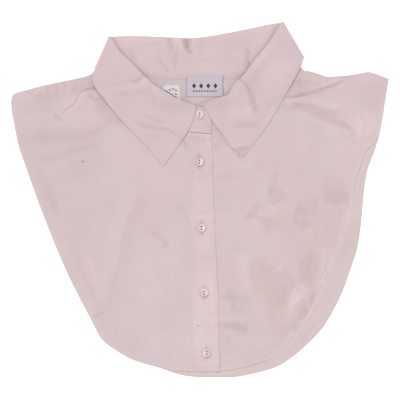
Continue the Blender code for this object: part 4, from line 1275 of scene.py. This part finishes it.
ends = [smooth((end - fromCorner) / reach) for end, reach in collar["liftFade"]]
lift = np.where(ringSide == 1, *collar["edgeLift"]) * np.where(side == 1, *ends)[:, None]
extra = (extra + lift * bell(fromEdge / 9)) * free
relief, paintedShading = creased(x, y, collar["leafCreases"], collar["seeds"][1])
extra += relief * smooth(fromEdge / 2 + 0.2) + 0.07 * waves(x, y, 53, 17)
settled = smooth(fromCorner / 10)[:, None]
lying = smooth(over / 14) * settled
z = (level + cloth["layer"] - collar["snug"] * (1 - free)) * (1 - lying) + resting * lying
z = np.where(ringSide > 0, z + extra * settled, ringLevel + normal[:, None, 2] * crease * 3)
out = normal[:, None, :2] * crease * 3
points = np.dstack([np.where(ringSide[..., None] > 0, plan, plan + out), z])


def aroundEdge(reach, offset):  # where the cloth is this far from the turned edge and the ring
    plan = top + dip * reach[:, None]
    base = standBase(plan[:, 0], plan[:, 1], side) + rise
    return np.column_stack([plan + normal[:, :2] * offset[:, None], base + normal[:, 2] * offset])


steps = collar["rollSteps"]
angles = [math.pi * k / steps for k in range(1, steps + 1)]
turned = [aroundEdge(outerReach - half * math.sin(a), crease + half + half * math.cos(a))
          for a in angles]
turned.append(aroundEdge(outerReach + collar["return"], np.full(len(top), crease)))
points = np.concatenate([points, np.stack(turned, axis=1)], axis=1)
strip = np.cumsum(np.linalg.norm(np.diff(points[:, rows:], axis=1), axis=2), axis=1)
coords = np.dstack([np.broadcast_to(reachOf(top)[:, None], points.shape[:2]),
                    np.hstack([fromRoll, -strip])])
# painted shade and painted light along the leaf's outer edge, and painted shade along the turned
# edges
rim = (1 - collar["rimPaintedShading"]) * bell(fromEdge / 0.9) * np.where(ringSide == 2, -0.6, 1.0)
turn = np.where(ringSide == 1, *collar["turnPaintedShade"]) * (ringSide > 0) * bell(fromRoll / 1.8, 1.5)
tone = paintedShadingTone(paintedShading) * patchy(x, y, collar["leafPatches"], 67) * (1 - rim - turn)[..., None]
tone = np.concatenate([tone, np.repeat(tone[:, -1:], steps + 1, axis=1)], axis=1)
leaf = clothGrid("collarLeaf", points, coords, shirtingCollar, cloth["double"] * 0.93, tone,
                 rounded=collar["edgeRound"])
onPart(leaf, "shirting", "collar_leaf")

print("labels")
labels = {
    "neck": [(-14.4, 107.5), (24.4, 107.5), (24.2, 129.4), (-14.4, 127.9)],  # from lower left round
    "size": [(-39.6, 101.0), (-20.3, 104.6), (-21.8, 119.6), (-37.9, 118.9)],
    "cells": (40, 24),
    "wall": 0.3,
    "gap": 0.1,
    "curl": 0.3,  # of the free lower edge
    "endTint": 0.6,  # folded ends of the neck label
    "endWidth": 0.9,
    "sewnFrom": (122.6, 1.6),  # its upper edge rises over the seam from here, in this width
    "sewnLevel": (2.45, 125.6, 0.1),  # to this height, and from here on up this slope
    "edgeRound": 0.08,
}


def wovenLabel(name, corners, material, node, endTint, tucked):
    u, v = np.meshgrid(*[np.linspace(0, 1, n + 1) for n in labels["cells"]], indexing="ij")
    a, b, c, d = np.array(corners)
    u2, v2 = u[..., None], v[..., None]
    plan = (a * (1 - u2) + b * u2) * (1 - v2) + (d * (1 - u2) + c * u2) * v2
    x, y = plan[..., 0], plan[..., 1]
    z = backMiddle(x, y) + (cloth["single"] + labels["wall"]) / 2 + labels["gap"]
    z += labels["curl"] * smooth(1 - v / 0.2) + 0.05 * waves(x, y, 71, 12)
    if tucked:  # the upper edge is sewn on over the seam of the stand
        (start, width), (level, foot, slope) = labels["sewnFrom"], labels["sewnLevel"]
        z += (level + slope * np.clip(y - foot, 0, 5) - z) * smooth((y - start) / width)
    end = bell(np.minimum(u, 1 - u) * math.dist(corners[0], corners[1]) / labels["endWidth"])
    tone = np.ones(x.shape + (3,)) * (1 - (1 - endTint) * end)[..., None]
    piece = clothGrid(name, np.dstack([plan, z]), plan, material, labels["wall"], tone,
                      rounded=labels["edgeRound"])
    return onPart(piece, node, node)


neckLabel = wovenLabel("neckLabel", labels["neck"], shirting("labelTaffeta", dye["label"]),
                       "neck_label", labels["endTint"], True)
sizeLabel = wovenLabel("sizeLabel", labels["size"], shirting("sizeTape", dye["sizeLabel"]),
                       "size_label", 1.0, False)


def surfaceOf(piece):
    return BVHTree.FromObject(piece, bpy.context.evaluated_depsgraph_get())


def heightOn(surface, x, y, under=False):  # of its upper or its under side, in metres
    way = 1 if under else -1
    hit = surface.ray_cast(Vector((x * mm, y * mm, -0.05 * way)), Vector((0, 0, way)))[0]
    return None if hit is None else hit.z


def placeAt(*place):
    return Matrix.Translation([part * mm for part in place])


def turnedBy(degrees, axis):
    return Matrix.Rotation(math.radians(degrees), 4, axis)


def sized(*sizes):
    return Matrix.Diagonal([*[size * mm for size in sizes], 1])


print("label weave")
motif = {
    "diamonds": 7,  # one row, every other one open
    "pitch": 3.7,
    "size": (4.3, 5.7),
    "ring": 1.1,  # width of the lines of an open one
    "middle": (4.9, 118.6),
    "dashes": 9,
    "dashPitch": 2.9,
    "dashSize": (1.7, 1.25),
    "dashRow": 113.2,
    "height": 0.05,
    "sizeDashes": [(-36.0, 113.6, 2.6), (-33.2, 112.0, 3.2), (-30.0, 109.9, 3.4),
                   (-26.6, 107.6, 3.2), (-24.0, 106.3, 2.4), (-31.4, 114.4, 2.6),
                   (-28.0, 115.6, 2.8), (-25.2, 114.0, 2.6), (-25.0, 110.0, 2.2)],
    "sizeTall": 0.9,
    "sizeTurn": -32.0,
}


def wovenMarks(name, on, diamonds, dashes, node):
    surface, bm = surfaceOf(on), bmesh.new()
    for x, y, wide, tall, opened in diamonds:
        place = placeAt(x, y, 0) @ sized(wide, tall, 1)
        made = bmesh.ops.create_circle(bm, cap_ends=True, segments=4, radius=0.5, matrix=place)
        face = made["verts"][0].link_faces[0]
        if opened:
            bmesh.ops.inset_region(bm, faces=[face], thickness=motif["ring"] * mm,
                                   use_even_offset=True)
            bmesh.ops.delete(bm, geom=[face], context="FACES")
    for x, y, wide, tall, turn in dashes:
        place = placeAt(x, y, 0) @ turnedBy(turn, "Z") @ sized(wide, tall, 1)
        bmesh.ops.create_grid(bm, x_segments=3, y_segments=1, size=0.5, matrix=place)
    for vertex in bm.verts:
        on = heightOn(surface, vertex.co.x / mm, vertex.co.y / mm)
        vertex.co.z = on + motif["height"] / 2 * mm
    return onPart(finished(name, meshOf(name, bm), darkYarn, motif["height"]), node)


def rowOf(count, pitch):  # places in a row about the middle of the neck label
    return [motif["middle"][0] + (k - (count - 1) / 2) * pitch for k in range(count)]


darkYarn = yarn("darkLabelYarn", dye["motif"])
diamonds = [(x, motif["middle"][1], *motif["size"], k % 2 == 1)
            for k, x in enumerate(rowOf(motif["diamonds"], motif["pitch"]))]
dashes = [(x, motif["dashRow"], *motif["dashSize"], 0)
          for x in rowOf(motif["dashes"], motif["dashPitch"])]
sizeDashes = [(*dash[:2], dash[2], motif["sizeTall"], motif["sizeTurn"])
              for dash in motif["sizeDashes"]]
neckMarks = wovenMarks("neckLabelWeave", neckLabel, diamonds, dashes, "neck_label")
sizeMarks = wovenMarks("sizeLabelWeave", sizeLabel, [], sizeDashes, "size_label")

print("buttons")
button = {
    "outline": [(0.0, 0.3), (2.9, 0.3), (3.85, 0.6), (4.15, 0.95), (4.22, 1.2), (4.15, 1.5),
                (3.95, 1.75), (3.65, 1.87), (3.35, 1.84), (3.05, 1.7), (2.8, 1.58), (2.3, 1.52),
                (0.0, 1.5)],  # radius and height, from the back over the rim to the dish
    "sides": 56,
    "holeRadius": 0.8,
    "holeSpacing": 3.1,
    "rim": 0.1,  # rounding of its sharp edges
    "tilts": [(2.5, 1.5), (-1.5, -3.0), (1.0, -2.0), (-3.0, 2.0), (1.5, 2.5)],  # about x and y
    "paintedHighlightSide": [(0.1, 0.5), (1.0, 0.0), (0.9, 0.1), (0.4, 0.7), (-1.0, -0.1)],  # side of its painted highlight
    # strength of the painted highlight
    "paintedHighlightGain": 0.13,
    "paintedShadeSide": [0.0, 0.13, 0.06, 0.1, 0.07],  # and how much painted shade darkens the other side
    "sink": 0.4,  # into the cloth it is sewn to
    "strand": (0.3, 2.4, 0.24),  # size of each of its two threads
    "strandPlace": (0.16, 1.5),  # beside its middle, and up
    "filling": (0.8, 0.7),  # radii of the thread that fills a hole
    "fillingDepth": 0.5,
    "fillingLevel": 1.0,
}


def plugs(name, radii, depth, level, sides):  # one upright in each hole
    bm = bmesh.new()
    for way in (-1, 1):
        bmesh.ops.create_cone(bm, cap_ends=True, segments=sides, radius1=radii[0] * mm,
                              radius2=radii[1] * mm, depth=depth * mm,
                              matrix=placeAt(0, way * button["holeSpacing"] / 2, level))
    return meshOf(name, bm)


def turnedButton():
    bm = bmesh.new()
    points = [bm.verts.new((r * mm, 0.0, z * mm)) for r, z in button["outline"]]
    sides = [bm.edges.new(pair) for pair in zip(points, points[1:])]
    bmesh.ops.spin(bm, geom=points + sides, cent=(0, 0, 0), axis=(0, 0, 1), angle=2 * math.pi,
                   steps=button["sides"], use_merge=True)
    bmesh.ops.remove_doubles(bm, verts=bm.verts[:], dist=1e-6)
    bmesh.ops.recalc_face_normals(bm, faces=bm.faces[:])
    blank = linked("blank", meshOf("blank", bm))
    drill = linked("drill", plugs("drill", [button["holeRadius"]] * 2, 8, 0, 24))
    holes = blank.modifiers.new("holes", "BOOLEAN")
    holes.operation, holes.object, holes.solver = "DIFFERENCE", drill, "EXACT"
    bevelled(blank, "rim", button["rim"], 60)
    shown = blank.evaluated_get(bpy.context.evaluated_depsgraph_get())
    made = bpy.data.meshes.new_from_object(shown)
    for thing in (blank, drill):
        bpy.data.objects.remove(thing)
    made.shade_smooth()
    made.set_sharp_from_angle(angle=math.radians(50))
    return made


def placed(name, mesh, material, place):
    mesh.transform(place)
    mesh.materials.clear()
    return onPart(finished(name, mesh, material), "button")


pearlButton, buttonYarn = pearl("pearlResin", dye["pearl"]), yarn("buttonYarn", dye["thread"])
# thread in the holes, coloured dark as painted shade inside them
holeYarn = yarn("threadInHolesPaintedShade", dye["threadInHolesPaintedShade"], 0.9)
blank = turnedButton()
bandSurface, tabSurface = surfaceOf(band), surfaceOf(stand)
eachButton = zip(buttonPlaces, button["tilts"], button["paintedHighlightSide"], button["paintedShadeSide"])
for number, ((bx, by), (tiltX, tiltY), paintedHighlightSide, paintedShadeSide) in enumerate(eachButton, 1):
    under = tabSurface if number == 1 else bandSurface
    ring = [heightOn(under, bx + 3 * math.cos(a), by + 3 * math.sin(a))
            for a in np.arange(0.4, 6.2, 0.8)]
    seat = sum(ring) / len(ring) / mm - button["sink"]
    place = placeAt(bx, by, seat) @ turnedBy(tiltX, "X") @ turnedBy(tiltY, "Y")
    disc = blank.copy()
    flat = np.array([vertex.co for vertex in disc.vertices])
    # painted highlight on one side of each button, painted shade on the other and round its rim
    paintedHighlight = smooth((flat[:, 0] * paintedHighlightSide[0] + flat[:, 1] * paintedHighlightSide[1]) / (3.2 * mm) + 0.35)
    paintedRimShade = 0.05 * smooth((np.hypot(flat[:, 0], flat[:, 1]) / mm - 3.6) / 0.5)
    shade(disc, (1 + button["paintedHighlightGain"] * paintedHighlight - paintedShadeSide * (1 - paintedHighlight) - paintedRimShade)[:, None])
    made = placed(f"button{number}", disc, pearlButton, place)
    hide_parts(f"button_{number}")
    bm = bmesh.new()
    beside, up = button["strandPlace"]
    for way in (-1, 1):  # two strands between the holes
        bmesh.ops.create_uvsphere(bm, u_segments=10, v_segments=8, radius=0.5,
                                  matrix=placeAt(way * beside, 0, up) @ sized(*button["strand"]))
    strands = meshOf("strands", bm)
    filling = plugs("filling", button["filling"], button["fillingDepth"],
                    button["fillingLevel"], 16)
    placed(f"buttonThread{number}", strands, buttonYarn, place)
    placed(f"holeThread{number}", filling, holeYarn, place)

print("stitches")
stitch = {
    "seam": (2.6, 1.75, 0.34),  # from one to the next, length and width
    "hole": (0.62, 1.0, 0.42),  # the same for the stitches across the edge of a buttonhole
    "edge": 1.7,  # from the edges of the collar
    "neck": 1.3,  # from the seams of the stand
    "shoulder": 2.0,
    "steepest": 0.7,  # none where the cloth rises more than this under one
    "bar": 1.0,  # half the length of the bar at each end of a buttonhole
}
seamYarn = yarn("seamYarn", dye["thread"])


def besideEdge(name, away, first=0):  # a line beside an edge, to its left when away is above 0
    line = smoothLine(outline[name][first:])
    return line + across(line) * away


def sewn(name, piece, lines, kind="seam", under=False):
    surface, (pitch, long, wide) = surfaceOf(piece), stitch[kind]
    bm = bmesh.new()
    for line in lines:
        for place in np.arange(pitch / 2, reachOf(line)[-1] - pitch / 3, pitch):
            a, b = [walk(line, place + way * min(long, pitch)) for way in (-0.5, 0.5)]
            if kind == "hole":
                turned = np.array([a[1] - b[1], b[0] - a[0]])
                turned *= long / np.hypot(*turned) / 2
                a, b = (a + b) / 2 - turned, (a + b) / 2 + turned
            ends = [heightOn(surface, *p, under) for p in (a, b)]
            if None in ends or abs(ends[0] - ends[1]) > stitch["steepest"] * mm:
                continue
            start, end = [Vector((*(p * mm), z)) for p, z in zip((a, b), ends)]
            turn = (end - start).to_track_quat("X", "Z").to_matrix().to_4x4()
            place = Matrix.Translation((start + end) / 2) @ turn @ sized(long, wide, wide * 0.6)
            bmesh.ops.create_uvsphere(bm, u_segments=6, v_segments=4, radius=0.5, matrix=place)
    return onPart(finished(name, meshOf(name, bm), seamYarn), "shirting")


edge, seam = stitch["edge"], stitch["neck"]
shoulders = [besideEdge(name, -stitch["shoulder"]) for name in ("shoulderRight", "shoulderLeftEnd")]
backStitches = sewn("backStitches", back, [backHem])
backUnder = sewn("backStitchesOutside", back, [backHem, *shoulders], under=True)
frontStitches = [sewn("rightFrontStitches", rightFront, [rightHem, shoulders[0]]),
                 sewn("leftFrontStitches", leftFront, [leftHem, shoulders[1]])]
fromOuter, fromInner = buttonBand["stitches"]
bandStitches = sewn("bandStitches", band, [besideEdge("bandOuter", fromOuter),
                                           besideEdge("bandInner", -fromInner)])
leafStitches = sewn("collarStitches", leaf, [
    besideEdge("leafEdgeRight", -edge), besideEdge("leafFrontRight", -edge, 1),
    besideEdge("leafEdgeLeft", -edge), besideEdge("leafFrontLeft", edge)])
leafUnder = sewn("collarStitchesBehind", leaf, [besideEdge("leafEdgeBack", edge)], under=True)
standStitches = sewn("standStitches", stand, [
    besideEdge("backNeck", seam), besideEdge("tabTop", edge * 0.8), besideEdge("tabBottom", -seam)])
holeLines = []
half, reach = buttonBand["holeWidth"] / 2 + 0.5, buttonBand["holeLength"] / 2 + 0.3
for bx, by in buttonPlaces[1:]:
    centreLine = np.array([[np.interp(by + s, buttonLine[:, 1], buttonLine[:, 0]), by + s]
                           for s in np.linspace(-reach, reach, 24)])
    holeLines += [centreLine + (way * half, 0) for way in (-1, 1)]
    for way in (-1, 1):
        end = by + way * (reach + 0.3)
        holeLines.append(np.array([(bx - stitch["bar"], end), (bx + stitch["bar"], end)]))
holeStitches = sewn("buttonholeStitches", band, holeLines, "hole")

print("stage")
studio = {
    "distance": 2.6,
    "framed": 0.416,  # metres across the picture
    "sky": 0.69,
    "key": 1.43,
    "keyFrom": (-0.35, 0.6, 1.0),
    "keySoftness": 45,  # degrees
    "floorHalf": 6,
    "floorLevel": -0.0002,
    "floorColour": (0.95, 0.95, 0.95, 1),
    "floorGlow": 0.4,
}
camera = linked("camera", bpy.data.cameras.new("camera"))
camera.location = (0, 0, studio["distance"])
camera.data.lens = camera.data.sensor_width * studio["distance"] / studio["framed"]
camera.data.clip_end = 20
bpy.context.scene.camera = camera
bpy.context.scene.view_settings.view_transform = "Standard"

world = bpy.data.worlds.new("studio")
world.use_nodes = True
world.node_tree.nodes["Background"].inputs["Color"].default_value = (1, 1, 1, 1)
world.node_tree.nodes["Background"].inputs["Strength"].default_value = studio["sky"]
bpy.context.scene.world = world

key = linked("key", bpy.data.lights.new("key", "SUN"))
key.data.energy = studio["key"]
key.data.angle = math.radians(studio["keySoftness"])
key.rotation_euler = Vector(studio["keyFrom"]).to_track_quat("Z", "Y").to_euler()

bm = bmesh.new()
bmesh.ops.create_grid(bm, x_segments=1, y_segments=1, size=studio["floorHalf"])
bmesh.ops.translate(bm, verts=bm.verts, vec=(0, 0, studio["floorLevel"]))
floor = linked("floor", meshOf("floor", bm))
paper = bpy.data.materials.new("whitePaper")
paper.use_nodes = True
floor.data.materials.append(finish(paper, {
    "Base Color": studio["floorColour"], "Roughness": 0.9,
    "Emission Color": (1, 1, 1, 1), "Emission Strength": studio["floorGlow"]}))
